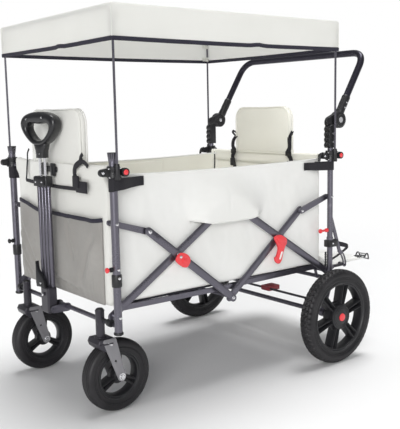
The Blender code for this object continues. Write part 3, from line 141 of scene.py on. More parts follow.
class Finish(Graph):
    """A Principled material whose varying values are plugged in by name."""

    def __init__(self, name, **uniform):
        self.material = bpy.data.materials.new(name)
        self.material.use_nodes = True
        super().__init__(self.material.node_tree)
        self.shader = self.tree.nodes.new("ShaderNodeBsdfPrincipled")
        self.end = self.tree.nodes.new("ShaderNodeOutputMaterial")
        self.tree.links.new(self.shader.outputs[0], self.end.inputs["Surface"])
        self.put(**uniform)

    def put(self, **values):
        for name, value in values.items():
            self.plug(self.shader.inputs[name.replace("_", " ")], value)
        return self

    def relief(self, height, strength, distance):
        bump = self.node("ShaderNodeBump", None,
                         {"Strength": strength, "Distance": distance, "Height": height})
        return self.put(Normal=bump)

    def let_through(self, share, colour):
        """Thin cloth passes some of the light that falls on its other side."""
        glow = self.node("ShaderNodeBsdfTranslucent", None, {"Color": colour})
        own = Term(self, self.shader.outputs[0])
        self.plug(self.end.inputs["Surface"],
                  self.node("ShaderNodeMixShader", None, {0: share, 1: own, 2: glow}))


def woven(name, colour, shade, thread=0.0024, rough=0.86, sheen=0.2, hem=0.014, through=0.0, relief=0.3):
    """Woven cloth with a stitched hem a little way in from its edge."""
    f = Finish(name, Sheen_Weight=sheen, Sheen_Roughness=0.45, Specular_IOR_Level=0.25)
    place, (u, v) = f.place(), f.cut()
    broad, fine = f.noise(place, 4.0, 3.0), f.noise(place, 60.0, 3.0)
    pick = 2 * pi / thread
    weave = f.math("SINE", u * pick) * f.math("SINE", v * pick)
    seam = 1.0 - f.step(abs(v - hem), 0.0007, 0.0015)
    dash = f.step(f.math("SINE", u * (2 * pi / 0.0046)), -0.5, 0.1)
    tone = f.blend(f.step(broad, 0.32, 0.68), colour, shade)
    tone = f.blend(f.step(fine, 0.42, 0.75) * 0.25, tone, shade)
    f.put(Base_Color=f.blend(seam * dash * 0.6, tone, shade))
    if through:
        f.let_through(through, colour)
    f.put(Roughness=rough + (fine - 0.5) * 0.16)
    return f.relief(weave * 0.35 + fine * 0.5 - seam * 1.6 + seam * dash * 1.2, relief, 0.0008).material


def webbing(name, colour, light):
    """Flat woven strap with ribs along its length."""
    f = Finish(name, Sheen_Weight=0.06, Sheen_Roughness=0.4, Specular_IOR_Level=0.3)
    place, (u, v) = f.place(), f.cut()
    ribs, picks = f.math("SINE", u * (2 * pi / 0.0022)), f.math("SINE", v * (2 * pi / 0.0014))
    fine = f.noise(place, 90.0, 2.0)
    f.put(Base_Color=f.blend(f.step(ribs * picks + fine - 0.5, -0.6, 0.9), colour, light))
    f.put(Roughness=0.62 + fine * 0.25)
    return f.relief(ribs * 0.6 + picks * 0.3 + fine * 0.3, 0.45, 0.0005).material


def coated(name, colour, worn, metallic, rough, grain=700.0, relief=0.12, coat=0.0, dust=0.25):
    """Painted, plated or moulded hard surface with fine grain, rubbed spots and uneven gloss."""
    f = Finish(name, Metallic=metallic, Coat_Weight=coat, Coat_Roughness=0.2)
    place = f.place()
    rubbed, cloudy, peel = f.noise(place, 55.0, 4.0), f.noise(place, 9.0, 2.0), f.noise(place, grain, 1.0)
    marks = f.step(rubbed, 0.56, 0.72) * f.step(cloudy, 0.42, 0.62)
    f.put(Base_Color=f.blend(marks * dust, colour, worn))
    f.put(Roughness=rough + (cloudy - 0.5) * 0.14 + marks * 0.12 + (peel - 0.5) * 0.06)
    return f.relief(peel + rubbed * 0.5, relief, 0.0004).material


def brushed(name, colour, rough, along=(60.0, 60.0, 900.0)):
    """Bright metal with lines left by drawing or polishing."""
    f = Finish(name, Metallic=1.0)
    lines, cloudy = f.noise(f.stretched(along), 1.0, 3.0), f.noise(f.place(), 30.0, 3.0)
    f.put(Base_Color=f.blend(f.step(cloudy, 0.45, 0.75) * 0.3, colour, tuple(c * 0.62 for c in colour)))
    f.put(Roughness=rough + (lines - 0.5) * 0.2 + (cloudy - 0.5) * 0.1)
    return f.relief(lines, 0.06, 0.0003).material


def rubbery(name, colour, dusty):
    """Tyre rubber: matt, with paler dusty patches."""
    f = Finish(name, Specular_IOR_Level=0.4)
    place = f.place()
    broad, fine = f.noise(place, 14.0, 4.0), f.noise(place, 260.0, 2.0)
    f.put(Base_Color=f.blend(f.step(broad, 0.4, 0.72) * 0.55 + f.step(fine, 0.5, 0.8) * 0.15, colour, dusty))
    f.put(Roughness=0.4 + broad * 0.2)
    return f.relief(fine + broad * 0.4, 0.25, 0.0005).material


CANVAS = woven("canvas", (0.84, 0.84, 0.82), (0.79, 0.79, 0.765))
# The cream lining is made brighter than its own colour, as painted light for the insides of the tub, panels
# and flap, which lie in shade.
LINING_WITH_PAINTED_LIGHT = woven("lining_painted_light", (0.91, 0.9, 0.825), (0.87, 0.855, 0.775))
# A darker copy of the canvas, as painted shade, for the end panels, the front seat pad and its flap.
SHADED_CANVAS = woven("shaded_canvas", (0.81, 0.81, 0.775), (0.76, 0.755, 0.715))
CANOPY = woven("canopy_cloth", (0.91, 0.91, 0.88), (0.87, 0.87, 0.835), hem=0.021, through=0.42)
# The seat cloth is made brighter than its own cream, as painted light for the rear pad in the canopy's shade.
LIT_SEAT_CANVAS = woven("seat_canvas_painted_light", (0.87, 0.86, 0.785), (0.83, 0.815, 0.735), hem=0.02)
NYLON = woven("pocket_nylon", (0.36, 0.347, 0.328), (0.285, 0.274, 0.258), thread=0.0016, rough=0.6,
              sheen=0.2, hem=0.3, relief=0.35)
BINDING = webbing("edge_binding", (0.017, 0.016, 0.028), (0.038, 0.036, 0.054))
WEBBING = webbing("black_webbing", (0.012, 0.0115, 0.015), (0.034, 0.032, 0.038))
GUNMETAL = coated("gunmetal_powder", (0.142, 0.136, 0.164), (0.33, 0.32, 0.36), 0.82, 0.29)
# A darker copy of the gunmetal powder for the push bow, as painted shade that keeps its top dark under the
# overhead lamp.
SHADED_BOW_METAL = coated("push_bow_shaded_powder", (0.036, 0.034, 0.048), (0.14, 0.135, 0.165), 0.72, 0.34)
DARKMETAL = coated("dark_powder", (0.045, 0.042, 0.052), (0.16, 0.155, 0.17), 0.45, 0.38)
FORKMETAL = coated("fork_grey", (0.27, 0.265, 0.28), (0.36, 0.35, 0.37), 0.6, 0.42)
PLASTIC = coated("black_plastic_grain", (0.011, 0.011, 0.013), (0.04, 0.038, 0.041), 0.0, 0.42, 420.0, 0.3,
                 dust=0.5)
GLOSSY = coated("black_glossy_plastic", (0.008, 0.008, 0.01), (0.035, 0.035, 0.038), 0.0, 0.3, 300.0, 0.06,
                0.25)
RED = coated("red_plastic_gloss", (0.8, 0.045, 0.055), (0.62, 0.03, 0.04), 0.0, 0.34, 500.0, 0.1, 0.3)
DARKRED = coated("red_plastic_dull", (0.26, 0.022, 0.032), (0.12, 0.02, 0.025), 0.0, 0.45, 420.0, 0.2)
RUBBER = rubbery("tyre_rubber", (0.0095, 0.0088, 0.0105), (0.031, 0.029, 0.032))
ZINC = brushed("zinc_bolt", (0.72, 0.72, 0.74), 0.24, (300.0, 300.0, 300.0))
STEEL = brushed("drawn_steel", (0.62, 0.62, 0.65), 0.2)


def lerp(a, b, t):
    return a + (b - a) * t


def ease(t):
    t = min(1.0, max(0.0, t))
    return t * t * (3 - 2 * t)


def spread(count):
    return [k / count for k in range(count + 1)]


def sgn(value):
    return 1 if value > 0 else -1


def blunt(value, power):
    """A sine or cosine that stays near its ends for longer, for rounded rectangles."""
    return sgn(value) * abs(value) ** power


def rumple(point, size, seed=0.0):
    """Seeded soft unevenness, about -1 to 1."""
    return noise.fractal(Vector(point) / size + Vector((seed, seed * 1.7, 3.1 - seed)), 0.9, 2.0, 3)


def ring(radius, steps=16, flat=1.0):
    return [(radius * cos(2 * pi * k / steps), radius * flat * sin(2 * pi * k / steps)) for k in range(steps)]


def strap_section(width, thick, steps=3):
    """Rounded strip: across by thick."""
    edge = thick / 2
    right = [(width / 2 - edge + edge * sin(pi * k / steps), -edge * cos(pi * k / steps))
             for k in range(steps + 1)]
    return right + [(-a, -b) for a, b in right]


def smooth_line(points, per=8, closed=False):
    """Catmull-Rom curve through the points."""
    points = [Vector(p) for p in points]
    count = len(points)
    line = []
    for i in range(count if closed else count - 1):
        p0, p1, p2, p3 = (points[(i + k) % count] if closed else points[min(count - 1, max(0, i + k))]
                          for k in (-1, 0, 1, 2))
        for step in range(per):
            t = step / per
            line.append(((p1 * 2) + (p2 - p0) * t + (p0 * 2 - p1 * 5 + p2 * 4 - p3) * t * t
                         + (p1 * 3 - p0 - p2 * 3 + p3) * t ** 3) / 2)
    return line if closed else line + [points[-1]]


def rounded_path(points, radius, steps=8):
    """Straight runs joined by arcs."""
    points = [Vector(p) for p in points]
    line = [points[0]]
    for a, b, c in zip(points, points[1:], points[2:]):
        u, w = (a - b).normalized(), (c - b).normalized()
        reach = radius / max(0.05, abs((1 + u.dot(w)) / max(1e-6, (1 - u.dot(w)))) ** -0.5)
        for t in spread(steps):
            p, q = b + u * reach, b + w * reach
            line.append(p.lerp(b, t).lerp(b.lerp(q, t), t))
    return line + [points[-1]]


def capsule(a, b, ra, rb=None, steps=8):
    """Outline round two circles, as points in a plane."""
    rb = ra if rb is None else rb
    way = atan2(b[1] - a[1], b[0] - a[0])
    out = [(b[0] + rb * cos(way - pi / 2 + pi * t), b[1] + rb * sin(way - pi / 2 + pi * t))
           for t in spread(steps)]
    return out + [(a[0] + ra * cos(way + pi / 2 + pi * t), a[1] + ra * sin(way + pi / 2 + pi * t))
                  for t in spread(steps)]


def rounded_box(x0, z0, x1, z1, r, steps=4):
    corners = ((x1 - r, z0 + r, -pi / 2), (x1 - r, z1 - r, 0), (x0 + r, z1 - r, pi / 2), (x0 + r, z0 + r, pi))
    return [(cx + r * cos(a + pi / 2 * t), cz + r * sin(a + pi / 2 * t)) for cx, cz, a in corners
            for t in spread(steps)]


def facing_y(y):
    """A plane across Y: drawn in X and Z."""
    return Matrix(((1, 0, 0, 0), (0, 0, 1, y), (0, 1, 0, 0), (0, 0, 0, 1)))


def facing_x(x):
    """A plane across X: drawn in Y and Z."""
    return Matrix(((0, 0, 1, x), (1, 0, 0, 0), (0, 1, 0, 0), (0, 0, 0, 1)))


def inset(outline, amount):
    """The outline moved inward by an amount."""
    count = len(outline)
    turn = sum(a[0] * b[1] - b[0] * a[1] for a, b in zip(outline, outline[1:] + outline[:1]))
    sign = 1 if turn > 0 else -1
    moved = []
    for i, (x, y) in enumerate(outline):
        (px, py), (qx, qy) = outline[i - 1], outline[(i + 1) % count]
        nx, ny = -(qy - py), qx - px
        size = hypot(nx, ny) or 1.0
        moved.append((x + sign * nx / size * amount, y + sign * ny / size * amount))
    return moved


class Form:
    """Gathers the faces of one piece, each with its finish and its place on the cut."""

    def __init__(self):
        self.points, self.faces, self.kinds, self.marks = [], [], [], []

    def add(self, points, faces, kind=0, marks=None):
        start = len(self.points)
        self.points += [Vector(p) for p in points]
        self.faces += [[start + i for i in face] for face in faces]
        self.kinds += [kind] * len(faces)
        self.marks += marks or [[(points[i][0] + points[i][1], points[i][2]) for i in face] for face in faces]
        return self

    def grid(self, rows, kind=0, close=(False, False), slits=()):
        """Faces between rows of points, left open where a slit's two lips part."""
        tall, wide = len(rows), len(rows[0])

        def lengths(line, closed):
            sums = [0.0]
            for a, b in zip(line, line[1:] + (line[:1] if closed else [])):
                sums.append(sums[-1] + (Vector(b) - Vector(a)).length)
            return sums
        us = lengths(list(rows[tall // 2]), close[1])
        vs = lengths([row[wide // 2] for row in rows], close[0])
        faces, marks = [], []
        for i in range(tall - (not close[0])):
            for j in range(wide - (not close[1])):
                below, right = (i + 1) % tall, (j + 1) % wide
                if j in slits and max((rows[k][j] - rows[k][right]).length for k in (i, below)) > 0.0006:
                    continue
                faces.append((i * wide + j, below * wide + j, below * wide + right, i * wide + right))
                marks.append(((us[j], vs[i]), (us[j], vs[i + 1]), (us[j + 1], vs[i + 1]), (us[j + 1], vs[i])))
        return self.add([p for row in rows for p in row], faces, kind, marks)

    def tube(self, rows, kind=0):
        """Rings of points joined into a body that is closed at both ends."""
        self.grid(rows, kind, (False, True))
        for row in (rows[0], rows[-1]):
            self.add(row, [tuple(range(len(row)))], kind)
        return self

    def sweep(self, path, section, kind=0, side=None, closed=False, scale=None):
        """A section carried along a path; side holds its first axis near a direction."""
        path = [Vector(p) for p in path]
        count, rows, across = len(path), [], None
        for i, point in enumerate(path):
            before = path[i - 1] if i or closed else point
            after = path[(i + 1) % count] if i < count - 1 or closed else point
            along = (after - before).normalized()
            if side is not None:
                across = Vector(side[i]) if isinstance(side, list) else Vector(side)
            elif across is None:
                across = Z_AXIS if abs(along.z) < 0.9 else X_AXIS
            across = (across - along * across.dot(along)).normalized()
            up, size = along.cross(across), scale[i] if scale else 1.0
            rows.append([point + across * (a * size) + up * (b * size) for a, b in section])
        return self.grid(rows, kind, (True, True)) if closed else self.tube(rows, kind)

    def lathe(self, profile, centre, axis, steps=24, kind=0, closed=False, shape=None):
        """A profile of radius and height pairs turned round an axis."""
        axis = Vector(axis).normalized()
        u = (X_AXIS if abs(axis.x) < 0.9 else Y_AXIS).cross(axis).normalized()
        w = axis.cross(u)
        rows = []
        for k, (radius, height) in enumerate(profile):
            row = []
            for step in range(steps):
                a = 2 * pi * step / steps
                r = shape(k, a, radius, height) if shape else radius
                row.append(Vector(centre) + axis * height + (u * cos(a) + w * sin(a)) * r)
            rows.append(row)
        return self.grid(rows, kind, (closed, True))

    def pin(self, at, axis, radius, start, end, steps=16, kind=0):
        """A plain round pin between two heights on its axis."""
        return self.lathe([(0, start), (radius, start), (radius, end), (0, end)], at, axis, steps, kind)

    def bead(self, at, axis, radius, half, height, steps):
        """A narrow raised ring round an axis."""
        profile = [(radius - half, 0), (radius, height), (radius + half, 0), (radius, -height)]
        return self.lathe(profile, at, axis, steps, closed=True)

    def bolt(self, at, axis, radius=0.0045, height=0.0026, kind=0, socket=True):
        """A button-headed bolt or rivet."""
        pit = [(0, height * 0.35), (radius * 0.38, height * 0.35),
               (radius * 0.42, height)] if socket else [(0, height)]
        return self.lathe(pit + [(radius * 0.62, height * 0.98), (radius * 0.9, height * 0.7),
                                 (radius, height * 0.2), (radius, -0.001), (0, -0.001)], at, axis, 16, kind)

    def slab(self, outline, depth, place, kind=0, edge=0.0015, steps=2):
        """A drawn outline made solid, its edges rounded."""
        rows = []
        for way in (-1, 1):
            for k in (range(steps + 1) if way < 0 else range(steps, -1, -1)):
                a = pi / 2 * k / steps
                drawn = inset(outline, edge * (1 - sin(a)))
                rows.append([place @ Vector((x, y, way * (depth / 2 - edge + edge * cos(a)))) for x,
                             y in drawn])
        return self.tube(rows, kind)

    def make(self, name, finishes, body=None, centre=None, cut=None, crease=38, turn=None, stands_for=(),
             slot=None):
        """The finished object. An open sheet faces away from centre."""
        finishes = finishes if isinstance(finishes, (list, tuple)) else [finishes]
        mesh = bpy.data.meshes.new(name)
        mesh.from_pydata([turn @ p for p in self.points] if turn else self.points, [], self.faces)
        layer = mesh.uv_layers.new(name="cut")
        layer.data.foreach_set("uv", [c for marks in self.marks for mark in marks for c in mark])
        mesh.polygons.foreach_set("material_index", self.kinds)
        work = bmesh.new()
        work.from_mesh(mesh)
        bmesh.ops.remove_doubles(work, verts=work.verts, dist=2e-6)
        bmesh.ops.dissolve_degenerate(work, dist=1e-6, edges=work.edges)
        if centre is None:
            bmesh.ops.recalc_face_normals(work, faces=work.faces)
        elif sum(f.normal.dot(f.calc_center_median() - Vector(centre)) * f.calc_area()
                 for f in work.faces) < 0:
            bmesh.ops.reverse_faces(work, faces=work.faces)
        if cut:
            uv = work.loops.layers.uv["cut"]
            for face in work.faces:
                for loop in face.loops:
                    loop[uv].uv = cut(loop.vert.co)
        work.to_mesh(mesh)
        work.free()
        for finish in finishes:
            mesh.materials.append(finish)
        mesh.shade_smooth()
        mesh.set_sharp_from_angle(angle=radians(crease))
        made = bpy.data.objects.new(name, mesh)
        bpy.context.scene.collection.objects.link(made)
        if body:
            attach(made, body)
        if stands_for:
            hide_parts(*([stands_for] if isinstance(stands_for, str) else stands_for))
        return made


def thicken(obj, thickness=0.0014, inner=0):
    """Gives a sheet its thickness towards the inside, where another finish may show."""
    solid = obj.modifiers.new("thickness", "SOLIDIFY")
    solid.thickness, solid.offset = thickness, -1.0
    solid.material_offset, solid.material_offset_rim = inner, 0


def drill(obj, x, z, radius):
    """A straight round hole along Y through a solid piece."""
    y = sum(v.co.y for v in obj.data.vertices) / len(obj.data.vertices)
    tool = Form().pin((x, y, z), Y_AXIS, radius, -0.02, 0.02).make("drill_bit", PLASTIC)
    bite = obj.modifiers.new("hole", "BOOLEAN")
    bite.object, bite.operation, bite.solver = tool, "DIFFERENCE", "EXACT"
    bite.use_self = True
    view = bpy.context.evaluated_depsgraph_get()
    bored = bpy.data.meshes.new_from_object(obj.evaluated_get(view))
    if not bored.polygons:
        raise RuntimeError(f"{obj.name} was lost when its hole was cut")
    obj.modifiers.clear()
    obj.data = bored
    bored.shade_smooth()
    bored.set_sharp_from_angle(angle=radians(38))
    bpy.data.objects.remove(tool)


def canopy():
    """Tray-shaped sun roof: flat top, straight valance, corner seams and bound edge."""
    x0, x1, half, top, low, curve = -0.4936, 0.3237, 0.3228, 1.0709, 0.9825, 0.005
    drop = [(-curve + curve * sin(pi / 2 * t), top - curve + curve * cos(pi / 2 * t)) for t in spread(5)]
    drop += [(0.0, lerp(top - curve, low, t)) for t in spread(10)[1:]]
    corners = [Vector((x0, -half, 0)), Vector((x1, -half, 0)), Vector((x1, half, 0)), Vector((x0, half, 0))]
    form, hem = Form(), []
    for index in range(4):
        start, end, count = corners[index], corners[(index + 1) % 4], 56 if index % 2 == 0 else 40
        along = (end - start).normalized()
        out_way = along.cross(Z_AXIS)
        rows = []
        for out, z in drop:
            row, hang = [], ((top - z) / (top - low)) ** 1.6
            for s in spread(count):
                free = min(1.0, 5 * min(s, 1 - s))
                wave = rumple((s * 3 + index * 7, 0, z * 3), 0.55, 2.0) * 0.0035 * hang * free
                nip = exp(-((s - 0.585) / 0.022) ** 2) * hang * (index in (0, 3))
                shift = out_way * (out + wave + 0.002 * nip) + along * (-out * (1 - 2 * s))
                row.append(start.lerp(end, s) + shift
                           + Z_AXIS * (z + 0.0024 * nip - 0.002 * hang * sin(pi * s)))
            rows.append(row)
        form.grid(rows)
        hem += rows[-1][:-1]
    rows = []
    for s in spread(56):
        row = []
        for t in spread(40):
            x, y = lerp(x0 + curve, x1 - curve, s), lerp(-half + curve, half - curve, t)
            sag = (sin(pi * s) * sin(pi * t)) ** 0.8
            pucker = 0.0012 * rumple((x, y, 0), 0.12, 5.0) * min(1.0, 8 * min(s, 1 - s, t, 1 - t))
            row.append(Vector((x, y, top - 0.01 * sag + pucker)))
        rows.append(row)
    form.grid(rows)
    cover = form.make("canopy_cover_cloth", CANOPY, "rear_poles", (-0.085, 0, 0.9),
                      cut=lambda p: (p.x + p.y, p.z - low if p.z < 1.061 else 0.2 + p.x),
                      stands_for="canopy_cover", slot="cloth")
    tape = Form().sweep([p + Z_AXIS * 0.0028 for p in hem], strap_section(0.0115, 0.0036), side=Z_AXIS,
                        closed=True)
    tape = tape.make("canopy_edge_binding", BINDING, "rear_poles", slot="black_plastic")
    seams = Form()
    for corner in corners:
        inward = Vector((0.0007 if corner.x < 0 else -0.0007, 0.0007 if corner.y < 0 else -0.0007, 0))
        line = [corner + inward * 0.2 + Z_AXIS * lerp(low + 0.006, top - 0.006, t) for t in spread(12)]
        seams.sweep(line, ring(0.0014, 8))
    seams = seams.make("canopy_corner_seams", CANOPY, "rear_poles", slot="cloth")
    for piece in (cover, tape, seams):
        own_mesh(piece)
    for end, x in (("front", -0.48744), ("rear", 0.3175)):
        loops = Form()
        for _, side in SIDES:
            for z in (0.994, 1.04):
                loops.lathe([(0.0036, -0.007), (0.0048, -0.0075), (0.0048, 0.0075), (0.0036, 0.007)],
                            (x, side * POLE_Y, z), Z_AXIS, 16, closed=True)
                shift = 0.0085 if end == "front" else -0.0085
                loops.slab(rounded_box(x + shift - 0.0115, z - 0.0068, x + shift + 0.0115, z + 0.0068, 0.002),
                           0.0012, facing_y(side * 0.32), edge=0.0005)
        loops.make(f"canopy_{end}_pole_loops", CANOPY, end + "_poles", slot="cloth")


def tub():
    """The tub's floor and sides in one sheet, with hemmed rims and flaps over the scissor's top."""
    x0, x1, half, floor, bend = -0.4846, 0.3072, 0.2666, 0.3038, 0.016

    def stand(x, z):
        """How far the sleeve over the scissor's top stands off the side, from 0 to 1."""
        core = max(0.0, min(0.09, (0.568 - z) * 1.5))
        across = 1 - ease((abs(x - CENTRE_X) - core) / lerp(0.042, 0.165, ease((z - 0.4875) / 0.085)))
        return across * (1 - ease((z - 0.553) / 0.086) * 0.985)

    def mouth(x):
        return 0.4875 + 0.01 * ease((abs(x - CENTRE_X) - 0.06) / 0.07)

    def wall(x, side, z, sleeve):
        end = min(1.0, min(x - x0, x1 - x) / bend)
        wide = half - bend * (1 - (1 - (1 - max(0.0, end)) ** 2) ** 0.5) * 0.9
        middle = sin(pi * (x - x0) / (x1 - x0))
        rim = RIM_Z - 0.006 * middle
        t = (rim - z) / (rim - floor - bend)
        calm = max(0.0, min(1.0, 6 * t, 5 * (1 - t)) * min(1.0, 9 * middle))
        slack = 0.0022 * (rumple((x * 1.2, side, z * 0.8 + x * 0.5), 0.1, 1.0) + 0.35) * calm
        slack += 0.0016 * calm * sin(pi * min(1.0, max(0.0, t))) * middle
        out = stand(x, z) if sleeve else 0.0
        crease = 0.0018 * exp(-((x + 0.0958) / 0.0045) ** 2)
        crease *= ease((0.605 - z) / 0.03) * ease((z - 0.505) / 0.03)
        slack = max(-0.0006, slack) * (1 - out) + crease * out + 0.001 * rumple((x, side, z), 0.06, 6.0) * out
        return Vector((x, side * (wide + 0.0264 * out - slack), z))

    def about_centre(reach):
        return [CENTRE_X + reach * k / 40 for k in range(-40, 41)]

    def ground(x, t):
        wide = wall(x, 1, floor + bend, False).y - bend
        return Vector((x, lerp(-wide, wide, t), floor + 0.001 * rumple((x, t, 0), 0.09, 4.0)))

    def side_line(x, side):
        rim = RIM_Z - 0.006 * sin(pi * (x - x0) / (x1 - x0))
        upper = [wall(x, side, lerp(rim, mouth(x), t), True) for t in spread(22)]
        return upper + [wall(x, side, lerp(mouth(x), floor + bend, t), False) for t in spread(22)]
    rows = []
    for s in [0, 0.002, 0.005, 0.01, 0.016, 0.022] + [lerp(0.03, 0.97, t) for t in spread(150)] + [
            0.978, 0.984, 0.99, 0.995, 0.998, 1]:
        x = lerp(x0, x1, s)
        left, right = side_line(x, -1), side_line(x, 1)[::-1]
        row = list(left)
        a, b = left[-1], ground(x, 0)
        row += [Vector((x, lerp(a.y, b.y, 1 - cos(pi / 2 * t)), lerp(a.z, b.z, sin(pi / 2 * t))))
                for t in spread(5)[1:-1]]
        row += [ground(x, t) for t in spread(30)]
        a, b = ground(x, 1), right[0]
        row += [Vector((x, lerp(a.y, b.y, sin(pi / 2 * t)), lerp(a.z, b.z, 1 - cos(pi / 2 * t))))
                for t in spread(5)[1:-1]]
        rows.append(row + right)
    last = len(rows[0]) - 1
    form = Form().grid(rows, slits=(22, last - 23))
    cloth = form.make("tub_side_and_floor_cloth", [CANVAS, LINING_WITH_PAINTED_LIGHT], "rear_frame", (-0.09, 0, 0.55),
                      cut=lambda p: (p.x, RIM_Z - p.z if p.z > 0.31 else 0.5 + p.y), stands_for="tub_liner",
                      slot="cloth")
    thicken(cloth, 0.0016, 1)
    pieces = [cloth]
    for name, side in SIDES:
        rim = [wall(lerp(x0, x1, s), side, RIM_Z - 0.006 * sin(pi * s), True) for s in spread(60)]
        roll = Form().sweep([p - Vector((0, side * 0.0006, 0.0015)) for p in rim], ring(0.0026, 10))
        lip = [wall(x, side, mouth(x) + 0.0012, True) for x in about_centre(0.126)]
        roll.sweep(lip, ring(0.0013, 8))
        pieces.append(roll.make(f"tub_rim_and_sleeve_hem_{name}", CANVAS, "rear_frame", slot="cloth"))
        patch = [[wall(x, side, lerp(0.466, 0.632, t), False) - Y_AXIS * (side * 0.0022)
                  for x in about_centre(0.15)] for t in spread(24)]
        patch = Form().grid(patch).make(f"tub_sleeve_back_{name}", [LINING_WITH_PAINTED_LIGHT, LINING_WITH_PAINTED_LIGHT], "rear_frame",
                                        (CENTRE_X, 0, 0.55), cut=lambda p: (p.x, p.z - 0.466), slot="cloth")
        thicken(patch, 0.001)
        pieces.append(patch)
    for piece in pieces:
        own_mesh(piece)


def end_panels():
    """Cloth over the two ends, sewn into a tunnel for each rim tube."""
    def panel(x, outward, crest, half, tube):
        """Rows that climb the outside, turn over the tube and come a little way down inside."""
        profile = []
        for t in spread(26):
            z = lerp(0.3035, crest - 0.006, t)
            profile.append((x + outward * tube * ease((z - 0.615) / 0.028), z, 1 - t))
        reach = 0.0072
        top_x = x + outward * (tube - reach)
        profile += [(top_x + outward * reach * cos(a), crest - 0.006 + 0.006 * sin(a), 0.0)
                    for a in (pi * k / 8 for k in range(1, 8))]
        profile += [(top_x - outward * reach, z, 0.0) for z in (crest - 0.006, 0.655, 0.645, 0.635, 0.622)]
        rows = []
        for px, z, low in profile:
            row = []
            for s in spread(72):
                y = lerp(-half, half, s)
                gap = half - abs(y)
                back = 0.014 - (max(0.0, 0.014 ** 2 - max(0.0, 0.014 - gap) ** 2)) ** 0.5
                calm = min(1.0, gap / 0.05) * sin(pi * min(1.0, max(0.0, (z - 0.3) / 0.36)))
                billow = 0.0035 * calm * (rumple((0, y, z * 0.8 - y * 0.4), 0.13, 9.0 * outward) + 0.3)
                row.append(Vector((px - outward * (back + max(-0.001, billow) * (1 if low else 0)), y,
                                   z - 0.003 * sin(pi * s) * (z > 0.62))))
            rows.append(row)
        return rows
    front = Form().grid(panel(-0.4884, -1, 0.6725, 0.2675, 0.0088))
    front = front.make("front_panel_cloth", [SHADED_CANVAS, LINING_WITH_PAINTED_LIGHT], "front_frame", (0.3, 0, 0.5),
                       cut=lambda p: (p.y, 0.6725 - p.z), stands_for="front_panel", slot="cloth")
    thicken(front, 0.0014, 1)
    rows = panel(0.309, 1, 0.662, 0.2665, 0.0085)
    rear = Form().grid(rows[:31]).grid(rows[30:], 1)
    rear = rear.make("rear_panel_cloth", [SHADED_CANVAS, LINING_WITH_PAINTED_LIGHT], "rear_frame", (-0.4, 0, 0.5),
                     cut=lambda p: (p.y, 0.662 - p.z), stands_for="rear_panel", slot="cloth")
    thicken(rear, 0.0014, 1)


def pocket():
    """Baggy grey pocket on the front, with folds, gathered bottom and a bound mouth."""
    near, far, low = -0.239, 0.255, 0.3035
    creases = (((0.24, 0.49), (0.115, 0.345), 0.013), ((0.25, 0.41), (0.165, 0.318), 0.01),
               ((0.248, 0.45), (0.196, 0.39), 0.008), ((-0.06, 0.52), (-0.105, 0.4), 0.014),
               ((-0.215, 0.5), (-0.13, 0.345), 0.016), ((0.04, 0.34), (-0.15, 0.318), 0.01))

    def mouth(y):
        return 0.5265 + 0.02 * ease((y - 0.1) / 0.14) + 0.009 * ease((-y - 0.19) / 0.09)
    rows = []
    for t in spread(56):
        row = []
        for s in spread(96):
            y = lerp(near, far, s)
            z = lerp(low, mouth(y), t)
            full = min(1.0, (y - near) / 0.035, (far - y) / 0.035) ** 0.6 * min(1.0, (t + 0.02) / 0.16) ** 0.6
            belly = 0.0085 + 0.0065 * sin(pi * t ** 0.8) + 0.003 * rumple((0, y * 0.8, z), 0.085, 3.0)
            for (ya, za), (yb, zb), width in creases:
                run, rise = yb - ya, zb - za
                size = hypot(run, rise)
                along = ((y - ya) * run + (z - za) * rise) / size ** 2
                off = ((y - ya) * rise - (z - za) * run) / size
                fade = ease(along * 4) * ease((1 - along) * 4)
                belly += fade * (0.0058 * exp(-((off - width * 0.9) / (width * 1.2)) ** 2)
                                 - 0.0098 * exp(-(off / (width * 0.75)) ** 2))
            gather = 0.0012 * sin(y * 210 + 2 * sin(y * 31)) * (1 - t) ** 6 * full
            row.append(Vector((-0.4904 - full * max(0.001, belly) - gather, y, z)))
        rows.append(row)
    bag = Form().grid(rows).make("front_pocket_cloth", [NYLON, NYLON], "front_frame", (0.3, 0, 0.42),
                                 cut=lambda p: (p.y, p.z), stands_for="front_pocket", slot="pocket_cloth")
    thicken(bag, 0.0011)
    edge = [p + Vector((0, 0, -0.003)) for p in rows[-1]]
    tape = Form().sweep(edge, strap_section(0.0118, 0.0036), side=Z_AXIS)
    tape.sweep([p + Vector((-0.0004, 0, 0)) for p in rows[0]], strap_section(0.004, 0.0022), 1, side=Z_AXIS)
    tape.make("front_pocket_binding", [BINDING, NYLON], "front_frame", slot="black_plastic")


